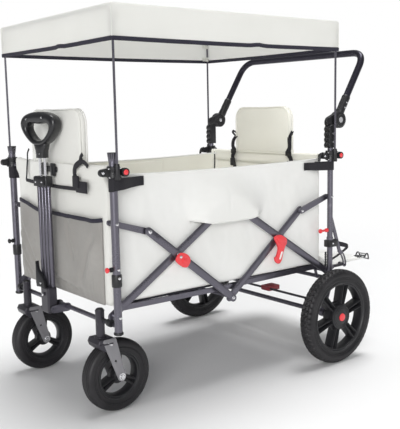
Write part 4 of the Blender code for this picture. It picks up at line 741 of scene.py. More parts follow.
def seat_pad(name, cloth, x, half, low, high, body, node):
    """Stuffed seat back: crowned faces, sides drawn in between the corners, a piped seam."""
    thick, corner = 0.027, 0.047
    outline = rounded_box(-half, low, half, high, corner, 10)
    full = []
    for (ya, za), (yb, zb) in zip(outline, outline[1:] + outline[:1]):
        count = max(1, int(hypot(yb - ya, zb - za) / 0.006))
        full += [(lerp(ya, yb, k / count), lerp(za, zb, k / count)) for k in range(count)]
    lower = []
    for y, z in full:
        if z < low + corner:  # the lower corners stay nearly square, where the pad is sewn to the panel
            t = (low + corner - z) / corner
            y = y + (half * sgn(y) - y) * min(1.0, t * 1.2) * (abs(y) > half - corner)
        lower.append((y, z))
    edge = []
    for y, z in lower:
        tight = 0.0035 * sin(pi * min(1.0, max(0.0, (z - low) / (high - low)))) * (abs(y) > half * 0.85)
        dip = 0.0028 * sin(pi * (y + half) / (2 * half)) * (z > high - 0.004)
        edge.append(Vector((x, y - (tight if y > 0 else -tight), z - dip)))
    middle = sum(edge, Vector()) / len(edge)
    form = Form()
    for way in (-1, 1):
        rows = []
        for t in spread(24):
            f = sin(pi / 2 * t) ** 0.8
            crown = (thick / 2 - 0.0032) * max(0.0, 1 - f ** 22) ** 0.4 + 0.0032 * (1 - f ** 3)
            row = []
            for k, p in enumerate(edge):
                q = middle + (p - middle) * f
                near_seam = f ** 10 * (1 - f ** 30)
                pucker = 0.0003 * sin(k * 1.15 + way) * near_seam
                pucker += 0.0007 * rumple(q, 0.07, 2.0 + way) * (1 - f ** 6)
                row.append(q + X_AXIS * way * max(0.0, crown + pucker * (crown > 0)))
            rows.append(row)
        form.grid(rows, 0, (False, True))
    pad = form.make(name, cloth, body, cut=lambda p: (p.y, p.z - low), stands_for=node, slot="cloth")
    piping = Form()
    for way in (-1, 1):
        line = [middle + (p - middle) * 0.988 + X_AXIS * way * (thick / 2 - 0.0038) for p in edge]
        piping.sweep(line, ring(0.0019, 8), closed=True)
    piping.make(name + "_piping", cloth, body, slot="cloth")


def seats():
    """Both seat backs, and the cloth flap under the front one."""
    # Both pads are of one cloth: the front one takes the darker canvas as painted shade, the rear one the
    # brightened seat cloth as painted light.
    seat_pad("front_seat_pad", SHADED_CANVAS, -0.4822, 0.1495, 0.66, 0.819, "front_frame", "front_seat_back")
    seat_pad("rear_seat_pad", LIT_SEAT_CANVAS, 0.3065, 0.137, 0.656, 0.815, "rear_frame", "rear_seat_back")
    rows = []
    for t in spread(18):
        row = []
        for s in spread(48):
            y = lerp(-0.1375, 0.1575, s)
            z = lerp(0.6055, 0.668, t)
            lift = 0.0012 * rumple((0, y, z), 0.05, 8.0) + 0.0022 * (1 - t) ** 2 * sin(y * 38 + 0.6)
            row.append(Vector((-0.4994 - 0.0012 * (1 - t) - max(-0.0006, lift), y + 0.003 * t * (1 - 2 * s),
                               z)))
        rows.append(row)
    flap = Form().grid(rows).make("front_seat_flap", [SHADED_CANVAS, LINING_WITH_PAINTED_LIGHT], "front_frame", (0.2, 0, 0.63),
                                  cut=lambda p: (p.y, p.z - 0.6055), slot="cloth")
    thicken(flap, 0.0013, 1)


def straps():
    """Webbing round the posts, the lash across the front, harness straps and their fittings."""
    section = ((0.5, 0.0), (0.47, 0.0009), (0.0, 0.0011), (-0.47, 0.0009), (-0.5, 0.0), (-0.47, -0.0009),
               (0.0, -0.0009), (0.47, -0.0009))
    shapes = ((1, 0.111, 0.0355, 0.7, 0.624, 0.6265), (-1, 0.088, 0.0285, 0.84, 0.6235, 0.6245))
    for (end, x, radius), (inward, reach, height, taper, z_near, z_far) in zip(ENDS, shapes):
        r, far = radius + 0.0016, x + inward * reach
        for name, side in SIDES:
            path = [(x + inward * (r + 0.03), side * 0.2705),
                    (x + inward * (r + 0.004), side * (POST_Y - 0.0135))]
            path += [(x - inward * r * cos(a), side * (POST_Y + r * sin(a))) for a in
                     (lerp(-1.9, 1.25, t) for t in spread(14))]
            path += [(x + inward * 0.03, side * 0.3035), (x + inward * 0.06, side * 0.2865),
                     (far - inward * 0.016, side * 0.2712), (far, side * 0.27)]
            last = len(path) - 1
            line = [Vector((px, py, lerp(z_near, z_far, k / last))) for k, (px, py) in enumerate(path)]
            rows = []
            for k, p in enumerate(line):
                along = (line[min(last, k + 1)] - line[max(0, k - 1)]).normalized()
                out = along.cross(Z_AXIS).normalized()
                tall = height * lerp(1.0, taper, ease((k / last - 0.72) / 0.28))
                rows.append([p + Z_AXIS * a * tall + out * b for a, b in section])
            Form().tube(rows).make(f"{end}_post_strap_{name}", WEBBING, end + "_frame", slot="black_plastic")
    lash = Form()

    def band(points, width, thick, side):
        lash.sweep(smooth_line(points), strap_section(width, thick), side=side)

    lash.sweep([(-0.5035 - 0.0006 * sin(9 * t), lerp(0.176, -0.15, t),
                 lerp(0.6095, 0.6045, t) - 0.004 * sin(pi * t)) for t in spread(30)],
               strap_section(0.0105, 0.0018), side=Z_AXIS)
    lash.slab(rounded_box(-0.188, 0.5945, -0.129, 0.6255, 0.0015), 0.0026, facing_x(-0.5024), edge=0.0006)
    lash.slab(rounded_box(-0.185, 0.5975, -0.132, 0.6225, 0.001), 0.0018, facing_x(-0.504), edge=0.0005)
    band([(-0.5032, -0.15, 0.613), (-0.5036, -0.138, 0.628), (-0.5042, -0.126, 0.644),
          (-0.5048, -0.132, 0.662), (-0.505, -0.152, 0.6735), (-0.504, -0.172, 0.681)], 0.0165, 0.0022,
         Y_AXIS)
    band([(-0.5045, -0.168, 0.68), (-0.5046, -0.186, 0.676), (-0.5044, -0.2, 0.667)], 0.012, 0.0022, Z_AXIS)
    band([(-0.5047, -0.16, 0.676), (-0.5048, -0.164, 0.69), (-0.504, -0.174, 0.699)], 0.012, 0.0022, Y_AXIS)
    lash.slab(rounded_box(-0.151, 0.607, -0.121, 0.64, 0.004), 0.007, facing_x(-0.5062), edge=0.002)
    band([(-0.501, 0.1515, 0.703), (-0.503, 0.159, 0.69), (-0.5036, 0.16, 0.672), (-0.5034, 0.1665, 0.65),
          (-0.5036, 0.17, 0.628), (-0.5036, 0.175, 0.609)], 0.008, 0.0014, Y_AXIS)
    lash.make("front_lash_straps", WEBBING, "front_frame", slot="black_plastic")
    clip = Form()
    for y in (0.042, -0.01):
        clip.slab(rounded_box(y - 0.0105, 0.632, y + 0.0105, 0.668, 0.003), 0.008, facing_x(-0.508),
                  edge=0.0022)
        clip.slab(rounded_box(y - 0.0045, 0.64, y + 0.0045, 0.662, 0.002), 0.0024, facing_x(-0.5122),
                  edge=0.0008)
    clip.slab(rounded_box(-0.026, 0.643, 0.05, 0.659, 0.003), 0.0035, facing_x(-0.5046), edge=0.001)
    clip.make("pull_rod_clip", PLASTIC, "front_frame", slot="black_plastic")
    harness = Form()
    for y, lean in ((0.142, 1), (-0.145, -1)):
        line = smooth_line([(0.299, y * 0.93, 0.714), (0.2905, y * 0.985, 0.698), (0.2885, y, 0.676),
                            (0.289, y * 0.94, 0.66), (0.29, y * 1.03, 0.64), (0.2925, y, 0.618),
                            (0.299, y, 0.59)])
        harness.sweep(line, strap_section(0.0175, 0.0018), side=Y_AXIS)
        harness.slab(rounded_box(y * 0.97 - 0.0125, 0.65, y * 0.97 + 0.0125, 0.6665, 0.003), 0.0045,
                     facing_x(0.2868), 1, edge=0.0015)
        harness.slab(rounded_box(y - 0.0115, 0.606, y + 0.0115, 0.634, 0.004), 0.0065, facing_x(0.287), 1,
                     edge=0.002)
        loop = smooth_line([(0.296, y * 0.94, 0.712), (0.292, y * 0.96 + lean * 0.008, 0.724),
                            (0.299, y * 0.94 + lean * 0.012, 0.73), (0.306, y * 0.93, 0.716)])
        harness.sweep(loop, strap_section(0.01, 0.0016), side=X_AXIS)
    harness.make("rear_harness_straps", [WEBBING, PLASTIC], "rear_frame", slot="black_plastic")
    line = [(lerp(0.2995, 0.2975, t), 0.2612 - 0.002 * sin(pi * t), lerp(0.652, 0.58, t)) for t in spread(14)]
    tape = Form().sweep(line, strap_section(0.0055, 0.0016), side=X_AXIS)
    tape.make("rear_corner_tape", WEBBING, "rear_frame", slot="black_plastic")


def basket():
    """The rear basket's slack bag, the trim along its edges, its loops and its buckles."""
    stations = [(0.338, 0.3255, 0.27, 0.26), (0.348, 0.3205, 0.2645, 0.2612), (0.365, 0.314, 0.2625, 0.2616),
                (0.385, 0.312, 0.264, 0.2618), (0.402, 0.3165, 0.27, 0.2616), (0.425, 0.314, 0.2745, 0.26),
                (0.455, 0.307, 0.2735, 0.256), (0.49, 0.2995, 0.275, 0.25), (0.525, 0.293, 0.276, 0.242),
                (0.55, 0.288, 0.2765, 0.234), (0.5605, 0.2855, 0.278, 0.227)]
    tops, lows, wides = (smooth_line([(row[0], 0, row[k]) for row in stations], 4) for k in (1, 2, 3))
    rows = []
    for top, low, wide in zip(tops, lows, wides):
        half, row = wide.z, []
        middle, tall = (top.z + low.z) / 2, (top.z - low.z) / 2
        for way in (1, -1):
            for t in spread(60)[:-1]:
                y = lerp(-half, half, t) * way
                swell = max(0.0, 1 - abs(y / half) ** 8) ** 0.5
                loose = 0.0028 * rumple((top.x, y, way), 0.05, 7.0) * min(1.0, swell * 1.5)
                row.append(Vector((top.x, y, middle + way * tall * swell + loose * min(1.0, tall / 0.012)
                                   - 0.0025 * sin(pi * t) * (way < 0))))
        rows.append(row)
    bag = Form().tube(rows).make("basket_bag_cloth", CANVAS, "basket", cut=lambda p: (p.y, 0.5605 - p.x),
                                 stands_for="basket_bag", slot="cloth", crease=60)
    trim = Form()
    for side in (-1, 1):
        edge = [Vector((wide.x, side * (wide.z + 0.0004), (top.z + low.z) / 2)) for top, low, wide in
                zip(tops, lows, wides)]
        trim.sweep(edge, strap_section(0.0065, 0.0022), side=Z_AXIS, kind=1)
        strap = smooth_line([(0.3268, side * 0.2858, 0.3725), (0.362, side * 0.2855, 0.3655),
                             (0.406, side * 0.2852, 0.354), (0.417, side * 0.285, 0.348),
                             (0.408, side * 0.2848, 0.34), (0.37, side * 0.2845, 0.324),
                             (0.333, side * 0.2845, 0.312)], 6)
        count = len(strap) - 1
        trim.sweep(strap, strap_section(0.017, 0.0018), side=Z_AXIS,
                   scale=[lerp(1.0, 0.42, ease(k / count)) for k in range(count + 1)])
        trim.sweep([(0.53, side * 0.227, 0.2915), (0.548, side * 0.229, 0.29), (0.56, side * 0.231, 0.288)],
                   strap_section(0.022, 0.0018), side=Y_AXIS)
    trim.make("basket_trim_and_loops", [WEBBING, CANVAS], "basket", slot="black_plastic")
    buckle = Form()
    for side in (-1, 1):
        y, lean = side * 0.232, 0.02
        for off in (-lean, lean):
            buckle.sweep(smooth_line([(0.548, y + off, 0.288), (0.556, y + off, 0.2985),
                                      (0.565, y + off, 0.296), (0.5725, y + off * 0.85, 0.278)], 6),
                         strap_section(0.0045, 0.0055), side=Y_AXIS, kind=1)
        for x, z in ((0.549, 0.2895), (0.56, 0.2975), (0.5722, 0.279)):
            buckle.sweep([(x, y - lean, z), (x, y + lean, z)], ring(0.0023, 8))
        buckle.slab(rounded_box(0.55, y - 0.01, 0.564, y + 0.01, 0.003), 0.004,
                    Matrix.Translation((0, 0, 0.29)), 1, edge=0.0014)
    buckle.make("basket_buckles", [ZINC, PLASTIC], "basket", slot="bright_steel")


def tyre_shape(radius, rim, width, tread, blocks):
    """A tyre's closed profile and the way its tread stands out."""
    half, middle = width / 2, rim + (radius - rim) * 0.45
    profile = []
    for t in spread(28):
        a = lerp(-pi / 2, pi / 2, t)
        profile.append((middle + (radius - middle) * abs(cos(a)) ** 0.72, half * blunt(sin(a), 0.72)))
    for t in spread(5)[1:]:
        profile.append((lerp(middle, rim + 0.0004, t), half * lerp(1.0, 0.86, t * t)))
    profile += [(rim + 0.0004, -y) for _, y in profile[-1:]]
    profile += [(lerp(rim + 0.0004, middle, t), -half * lerp(0.86, 1.0, t * t)) for t in spread(5)[1:-1]]

    def shape(_, a, r, y):
        off = y / half
        if r < middle + (radius - middle) * 0.55:
            return r
        if blocks:
            zig = abs(((off * 2.6) % 2) - 1)
            groove = (a * blocks / (2 * pi) + zig * 0.5) % 1 < 0.24 or abs(abs(off) - 0.3) < 0.055
        else:
            groove = min(abs(abs(off) - 0.18), abs(abs(off) - 0.52)) < 0.045
        return r - tread * groove
    return profile, shape


def hub_shape(form, centre, rim, boss, arms, width, twin, out, start=0.0):
    """Moulded hub: rim ring with a stepped lip, pairs of spokes and a boss."""
    lip = width / 2 - 0.002
    form.lathe([(rim, lip), (rim - 0.003, lip), (rim - 0.005, lip - 0.003), (rim - 0.0085, lip - 0.004),
                (rim - 0.0115, lip * 0.45), (rim - 0.0115, -lip * 0.45), (rim - 0.0085, -lip + 0.004),
                (rim - 0.005, -lip + 0.003), (rim - 0.003, -lip), (rim, -lip)], centre, Y_AXIS, 72,
               closed=True)
    form.lathe([(0, out + 0.0005), (boss * 0.45, out), (boss * 0.82, out - 0.0012),
                (boss * 0.95, out - 0.004), (boss, out - 0.009), (boss, -out + 0.009),
                (boss * 0.95, -out + 0.004), (boss * 0.8, -out + 0.001), (0, -out)], centre, Y_AXIS, 40)
    form.lathe([(boss + 0.006, 0.0075), (boss + 0.006, -0.0075), (boss - 0.004, -0.0075),
                (boss - 0.004, 0.0075)], centre, Y_AXIS, 40, closed=True)
    for arm in range(arms):
        turn = Matrix.Translation(centre) @ Matrix.Rotation(start + 2 * pi * arm / arms, 4, "Y")
        for way in (-1, 1):
            reach, root = rim - 0.006, boss * 0.86
            a, b = way * twin * 0.62, way * twin
            bar = [(root, a - 0.0032), (reach, b - 0.0036), (reach, b + 0.0036), (root, a + 0.0032)]
            form.slab(bar, lip * 1.25, turn @ facing_y(0), edge=0.0018)
            form.slab([(root, a - 0.0016), (reach, b - 0.0016), (reach, b + 0.0016), (root, a + 0.0016)],
                      lip * 1.66, turn @ facing_y(0), edge=0.001)
        web = [(boss * 0.9, -twin * 0.6), (rim - 0.006, -twin), (rim - 0.006, twin), (boss * 0.9, twin * 0.6)]
        form.slab(web, 0.004, turn @ facing_y(0), edge=0.001)


def wheels():
    """Treaded tyres on moulded hubs, for the rear wheels and the casters."""
    for name, side in SIDES:
        centre = Vector((0.2855, side * 0.3555, 0.15))
        profile, shape = tyre_shape(0.15, 0.112, 0.045, 0.0032, 54)
        tyre = Form().lathe(profile, centre, Y_AXIS, 324, closed=True, shape=shape)
        for way in (-1, 1):
            for r in (0.1205, 0.1265):
                tyre.bead(centre + Y_AXIS * way * 0.0222, Y_AXIS, r, 0.0007, 0.0007, 96)
        tyre.make(f"rear_tyre_{name}_rubber", RUBBER, f"rear_wheel_{name}", stands_for=f"rear_tyre_{name}",
                  slot="tyre", crease=30)
        form = Form()
        hub_shape(form, centre, 0.112, 0.041, 6, 0.045, 0.0105, 0.0245, 0.26 * side)
        for ring_r in (0.0335, 0.0265):
            form.bead(centre + Y_AXIS * side * 0.024, Y_AXIS, ring_r, 0.001, 0.0008, 40)
        form.lathe([(0, 0.0032), (0.008, 0.0029), (0.0115, 0.0016), (0.0128, -0.002), (0, -0.002)],
                   centre + Y_AXIS * side * 0.0252, Y_AXIS * side, 28, 1)
        form.make(f"rear_hub_{name}_moulding", [PLASTIC, RED], f"rear_wheel_{name}",
                  stands_for=f"rear_hub_{name}", slot="black_plastic")
        centre = Vector((CASTER_X, side * CASTER_Y, CASTER_Z))
        profile, shape = tyre_shape(0.1, 0.066, 0.045, 0.0011, 0)
        tyre = Form().lathe(profile, centre, Y_AXIS, 96, closed=True, shape=shape)
        for way in (-1, 1):
            tyre.bead(centre + Y_AXIS * way * 0.0224, Y_AXIS, 0.0782, 0.0007, 0.0008, 96)
        tyre.make(f"caster_tyre_{name}_rubber", RUBBER, f"caster_wheel_{name}",
                  stands_for=f"caster_tyre_{name}", slot="tyre", crease=30)
        form = Form()
        hub_shape(form, centre, 0.066, 0.0185, 3, 0.045, 0.0078, 0.0215, 0.55)
        form.make(f"caster_hub_{name}_moulding", PLASTIC, f"caster_wheel_{name}",
                  stands_for=f"caster_hub_{name}", slot="black_plastic")


def casters():
    """Caster forks: a cast crown, two pressed legs, axle bolt and stem cap."""
    crown_top = 0.2127
    for name, side in SIDES:
        y = side * CASTER_Y
        crown = Form()
        crown.slab([(STEM_X - 0.025, 0.202), (STEM_X - 0.021, 0.19), (STEM_X - 0.006, 0.1775),
                    (STEM_X + 0.016, 0.1785), (STEM_X + 0.029, 0.19), (STEM_X + 0.029, 0.206),
                    (STEM_X + 0.024, crown_top), (STEM_X - 0.019, crown_top)], 0.06, facing_y(y), edge=0.004,
                   steps=3)
        crown.lathe([(0, 0.003), (0.015, 0.003), (0.0165, 0.0015), (0.017, -0.004), (0, -0.004)],
                    (STEM_X, y, crown_top), Z_AXIS, 32)
        for way in (-1, 1):
            crown.slab(capsule((STEM_X - 0.018, 0.199), (STEM_X + 0.018, 0.199), 0.0022), 0.004,
                       facing_y(y + way * 0.0305), 0, edge=0.001)
        stem = [(0, 0.079), (0.0075, 0.079), (0.01, 0.0775), (0.0108, 0.074), (0.007, 0.074), (0.007, -0.01),
                (0, -0.01)]
        crown.lathe(stem, (STEM_X, y, 0.213), Z_AXIS, 24, 1)
        bolts = Form()
        for way in (-1, 1):
            face = y + way * 0.0291
            leg = Form()
            foot = [(CASTER_X + 0.0128 * cos(a), CASTER_Z + 0.0128 * sin(a)) for a in
                    (lerp(-pi * 0.86, pi * 0.14, t) for t in spread(12))]
            line = foot + [(STEM_X + 0.031, 0.205), (STEM_X + 0.0295, 0.2095), (STEM_X + 0.0255, 0.2118),
                           (STEM_X - 0.006, 0.2118), (STEM_X - 0.0095, 0.2095), (STEM_X - 0.0105, 0.205)]
            leg.slab(line, 0.0032, facing_y(face), edge=0.001)
            rim = inset(line, 0.0028)
            leg.slab(rim, 0.001, facing_y(face + way * 0.0016), edge=0.0004)
            leg = leg.make(f"caster_leg_{name}_{'near' if way * side > 0 else 'far'}", FORKMETAL,
                           f"caster_fork_{name}", slot="gunmetal")
            drill(leg, STEM_X + 0.026, 0.148, 0.0033)
            bolts.lathe([(0, 0.0062), (0.0052, 0.006), (0.0062, 0.0048), (0.0064, 0.0018), (0.01, 0.0016),
                         (0.0104, 0.0004), (0.0104, -0.0014), (0, -0.0014)],
                        (CASTER_X, face + way * 0.0018, CASTER_Z), Y_AXIS * way, 24)
            bolts.slab(capsule((STEM_X + 0.006, 0.2), (STEM_X + 0.015, 0.195), 0.0026), 0.0016,
                       facing_y(face + way * 0.0024), edge=0.0006)
        bolts.lathe([(0.0055, -0.029), (0.0055, 0.029)], (CASTER_X, y, CASTER_Z), Y_AXIS, 16)
        crown.make(f"caster_crown_{name}", [DARKMETAL, PLASTIC], f"caster_fork_{name}",
                   stands_for=f"caster_fork_{name}", slot="gunmetal")
        bolts.make(f"caster_axle_bolts_{name}", ZINC, f"caster_fork_{name}", slot="bright_steel")


def pull_handle():
    """Loop grip with its neck and screws, the shaft's tubes, collar and lock, and the yoke's bolts."""
    base, depth = 0.684, 0.036
    outer_half = [(0.0, 0.0345), (0.0215, 0.0375), (0.04, 0.05), (0.058, 0.069), (0.0675, 0.088),
                  (0.0668, 0.104), (0.055, 0.117), (0.032, 0.125), (0.0, 0.1278)]
    inner_half = [(0.0, 0.048), (0.014, 0.05), (0.0295, 0.061), (0.0395, 0.074), (0.0418, 0.085),
                  (0.037, 0.093), (0.027, 0.0962), (0.014, 0.0945), (0.0, 0.0935)]

    def loop(half):
        half = [(y * 1.035, z) for y, z in half]
        line = [Vector((0, y, z)) for y, z in half] + [Vector((0, -y, z)) for y, z in reversed(half[1:-1])]
        return smooth_line(line, 8, True)
    outside, inside = loop(outer_half), loop(inner_half)
    form, rows = Form(), []
    for a, b in zip(outside, inside):
        middle, reach = (a + b) / 2, (a - b) / 2
        row = []
        for k in range(20):
            t = 2 * pi * k / 20
            row.append(Vector((PULL_X, 0, base)) + middle + reach * blunt(cos(t), 0.75)
                       + X_AXIS * (depth / 2 * blunt(sin(t), 0.7)))
        rows.append(row)
    form.grid(rows, 0, (True, True))
    neck = [(0.0, 0.0165, 0.015), (0.01, 0.016, 0.015), (0.02, 0.018, 0.015), (0.03, 0.0225, 0.015),
            (0.04, 0.027, 0.0135), (0.046, 0.024, 0.011)]
    rows = []
    for z, wide, deep in neck:
        rows.append([Vector((PULL_X + deep * blunt(sin(t), 0.7), wide * blunt(cos(t), 0.7), base + z))
                     for t in (2 * pi * k / 28 for k in range(28))])
    form.tube(rows)
    for y, z, r in ((0.041, 0.107, 0.003), (-0.022, 0.1115, 0.003), (0.006, 0.012, 0.0018),
                    (-0.004, 0.012, 0.0018)):
        x = PULL_X - (depth / 2 if z > 0.05 else 0.015)
        form.lathe([(r + 0.0013, -0.0006), (r + 0.0013, 0.0007), (r + 0.0003, 0.0009), (r + 0.0001, -0.0006)],
                   (x, y, base + z), -X_AXIS, 18, closed=True)
        form.bolt((x + 0.0004, y, base + z), -X_AXIS, r, 0.001, 1)
    form.make("pull_grip_loop", [GLOSSY, ZINC], "pull_tubes", turn=PULL_TURN, stands_for="pull_grip",
              slot="black_plastic", crease=50)
    # The web behind and between the four tubes takes the dark powder, as painted shade in the grooves between
    # the tubes.
    shaft = Form().slab(rounded_box(-0.0215, 0.319, 0.0215, 0.631, 0.002), 0.0088, facing_x(PULL_X), 1,
                        edge=0.001)
    for k in (-1.5, -0.5, 0.5, 1.5):
        shaft.lathe([(0, 0), (0.0058, 0), (0.0063, 0.0008), (0.0063, 0.3129), (0.0058, 0.3137), (0, 0.3137)],
                    (PULL_X, k * 0.0126, 0.3183), Z_AXIS, 24)
    shaft.make("pull_shaft_tubes", [GUNMETAL, DARKMETAL], "pull_shaft", turn=PULL_TURN,
               stands_for="pull_shaft", slot="gunmetal")
    collar = Form()
    collar.slab(rounded_box(PULL_X - 0.0155, -0.027, PULL_X + 0.012, 0.027, 0.005), 0.0268,
                Matrix.Translation((0, 0, 0.619)), edge=0.002)
    collar.slab(rounded_box(PULL_X - 0.0145, -0.025, PULL_X + 0.0108, 0.025, 0.004), 0.006,
                Matrix.Translation((0, 0, 0.6303)), edge=0.0015)
    collar.slab(rounded_box(-0.0205, 0.609, 0.0205, 0.6275, 0.003), 0.003, facing_x(PULL_X - 0.0172),
                edge=0.001)
    for y in (0.012, -0.0125):
        collar.bolt((PULL_X - 0.0186, y, 0.618), -X_AXIS, 0.003, 0.0014, 1)
    collar.make("pull_shaft_collar", [PLASTIC, ZINC], "pull_shaft", turn=PULL_TURN, slot="black_plastic")
    lock = Form()
    lock.slab([(-0.006, 0.318), (0.027, 0.318), (0.03, 0.33), (0.0285, 0.39), (0.0245, 0.392),
               (0.021, 0.368), (0.006, 0.35), (-0.003, 0.336)], 0.012, facing_x(PULL_X - 0.0155), edge=0.003)
    lock.bolt((PULL_X - 0.0222, 0.008, 0.33), -X_AXIS, 0.0034, 0.0018, 1)
    lock.make("pull_shaft_lock", [PLASTIC, ZINC], "pull_shaft", turn=PULL_TURN, slot="black_plastic")
    low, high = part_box("pull_yoke")
    y_out = max(abs(low[1]), abs(high[1]))
    bolts = Form()
    for _, side in SIDES:
        bolts.bolt((PULL_X, side * (y_out - 0.0002), YOKE_Z), Y_AXIS * side, 0.0062, 0.003)
    bolts.bolt((low[0] + 0.0002, 0.004, 0.296), -X_AXIS, 0.005, 0.0026)
    bolts.make("pull_yoke_bolts", ZINC, "pull_yoke", slot="bright_steel")


def push_handle():
    """Bent tube with moulded arm sleeves, geared hubs on scalloped sleeves and their buttons."""
    hub, angle = Vector((HUB_X, 0, HUB_Z)), radians(57.8)
    along = Vector((cos(angle), 0, sin(angle)))
    tube_y, path = 0.2925, []
    for side in (-1, 1):
        ends = [hub + along * reach + Y_AXIS * side * tube_y for reach in (0.026, 0.255)]
        path += ends if side < 0 else ends[::-1]
    bow = Form().sweep(rounded_path(path, 0.055, 12), ring(0.011, 28), 0)
    for side in (-1, 1):
        root = hub + Y_AXIS * side * tube_y
        sleeve = [(0.0112, 0.088), (0.0128, 0.0865), (0.0136, 0.083), (0.0132, 0.07), (0.0138, 0.058),
                  (0.0132, 0.046), (0.0138, 0.034), (0.014, 0.02), (0.0112, 0.016)]
        bow.lathe(sleeve, root, along, 28, 1)
        for reach in (0.046, 0.064):
            bow.bolt(root + along * reach + Y_AXIS * side * 0.0134, Y_AXIS * side, 0.003, 0.0014, 2)
        bow.lathe([(0.0105, 0.0016), (0.0215, 0.0016), (0.0232, 0.0004), (0.0255, -0.0006), (0.0255, -0.0088),
                   (0.0105, -0.0088)], hub + Y_AXIS * side * 0.3098, Y_AXIS * side, 72, 1, closed=True,
                  shape=lambda k, a, r, h: r + (0.0006 * sgn(sin(a * 30)) if k in (3, 4) else 0))
        bow.lathe([(0.0158, 0.0024), (0.0175, 0.0026), (0.018, 0.0012), (0.0156, 0.0012)],
                  hub + Y_AXIS * side * 0.3098, Y_AXIS * side, 48, 1, closed=True)
    # The bow takes the darker powder as painted shade.
    bow.make("push_bow", [SHADED_BOW_METAL, PLASTIC, ZINC], "push_handle", stands_for="push_handle", slot="gunmetal")
    for name, side in SIDES:
        shell = Form()
        front = [(REAR_X - 0.0125 - 0.0036 * abs(sin(pi * 4 * t)), lerp(0.681, 0.748, t)) for t in spread(40)]
        outline = front + [(REAR_X - 0.004, 0.754), (REAR_X + 0.0135, 0.754), (REAR_X + 0.0135, 0.681)]
        shell.slab(outline[::-1], 0.0245, facing_y(side * 0.29775), edge=0.0022, steps=3)
        shell.slab(capsule((REAR_X + 0.003, 0.761), (HUB_X, HUB_Z), 0.0185, 0.0245, 12), 0.0134,
                   facing_y(side * 0.293), edge=0.002)
        shell.lathe([(0, 0.015), (0.022, 0.015), (0.0245, 0.0136), (0.0262, 0.011), (0.0262, 0.002),
                     (0.024, 0), (0, 0)], hub + Y_AXIS * side * 0.2855, Y_AXIS * side, 48)
        shell.slab(rounded_box(REAR_X - 0.0085, 0.688, REAR_X + 0.009, 0.742, 0.004), 0.002,
                   facing_y(side * 0.3104), edge=0.0008)
        for z in (0.7, 0.726):
            shell.bolt((REAR_X + 0.001, side * 0.3112, z), Y_AXIS * side, 0.0034, 0.0016, 1)
        shell.lathe([(0.0135, 0.0014), (0.015, 0.0016), (0.0156, 0.0004), (0.0132, 0.0004)],
                    hub + Y_AXIS * side * 0.2857, -Y_AXIS * side, 36, closed=True)
        shell.bolt(hub + Y_AXIS * side * 0.2857, -Y_AXIS * side, 0.0068, 0.003, 1)
        shell.make(f"handle_hub_{name}_shell", [PLASTIC, ZINC], "rear_frame", stands_for=f"handle_hub_{name}",
                   slot="black_plastic")


def clamps():
    """Clamps on the posts with the poles' sockets, bolt lugs and their knobs."""
    z = CLAMP_Z
    for end, x, radius in ENDS:
        for name, side in SIDES:
            y = side * POST_Y
            form = Form()
            form.lathe([(radius + 0.0005, -0.015), (0.0145, -0.015), (0.0157, -0.0135), (0.0157, -0.004),
                        (0.015, -0.003), (0.015, 0.003), (0.0157, 0.004), (0.0157, 0.0135), (0.0145, 0.015),
                        (radius + 0.0005, 0.015)], (x, y, z), Z_AXIS, 36, closed=True)
            form.lathe([(0.0036, -0.019), (0.0066, -0.019), (0.0075, -0.017), (0.0075, 0.012),
                        (0.0066, 0.018), (0.0058, 0.0215), (0.0036, 0.0215)], (x + 0.002, side * POLE_Y, z),
                       Z_AXIS, 24, closed=True)
            lug = 0.0265 if side > 0 and end == "front" else 0.034
            form.slab(capsule((x - 0.01, z), (x - lug, z), 0.0118, 0.0096), 0.0105, facing_y(side * 0.3015),
                      edge=0.002)
            form.lathe([(0.005, 0.0035), (0.009, 0.0035), (0.0098, 0.002), (0.0098, -0.001), (0.005, -0.001)],
                       (x - lug, side * 0.307, z), Y_AXIS * side, 24, closed=True)
            form.bolt((x - lug, side * 0.3068, z), Y_AXIS * side, 0.0048, 0.0034, 1)
            form.slab(capsule((x + 0.006, z), (x + KNOB_REACH, z), 0.0086, 0.0088), 0.01,
                      facing_y(side * 0.307), edge=0.0015)
            for dx, dz in ((-0.0165, 0.0095), (-0.014, -0.012)):
                form.bolt((x + dx, side * 0.3064, z + dz), Y_AXIS * side, 0.0026, 0.0016, 1)
            form.bolt((x + 0.0075, side * 0.3232, z + 0.0115), Y_AXIS * side, 0.0022, 0.0012, 1)
            if end == "rear":
                claw = smooth_line([(x - 0.036, side * 0.301, z + 0.006),
                                    (x - 0.046, side * 0.301, z + 0.004),
                                    (x - 0.0515, side * 0.301, z - 0.006),
                                    (x - 0.0525, side * 0.301, z - 0.016)], 6)
                form.sweep(claw, ring(0.0046, 12), 0,
                           scale=[lerp(1.3, 0.8, k / (len(claw) - 1)) for k in range(len(claw))])
            form.make(f"{end}_clamp_{name}_body", [PLASTIC, ZINC, DARKRED], end + "_frame",
                      stands_for=f"{end}_clamp_{name}", slot="black_plastic")
            knob = Form()
            knob.lathe([(0, 0), (0.01, 0), (0.0112, 0.0012), (0.0112, 0.0112), (0.0105, 0.0136),
                        (0.0086, 0.0142), (0.0076, 0.013), (0, 0.013)], (x + KNOB_REACH, side * 0.3123, z),
                       Y_AXIS * side, 72, 0,
                       shape=lambda k, a, r, h: r - (0.0011 * max(0.0, cos(a * 12)) if k in (2, 3) else 0))
            knob.lathe([(0, 0.0164), (0.004, 0.0162), (0.0058, 0.0154), (0.0069, 0.014), (0.0072, 0.0125),
                        (0, 0.0125)], (x + KNOB_REACH, side * 0.3123, z), Y_AXIS * side, 36, 1)
            knob.make(f"{end}_knob_{name}_cap", [PLASTIC, RED], f"{end}_knob_{name}",
                      stands_for=f"{end}_knob_{name}", slot="red_plastic")


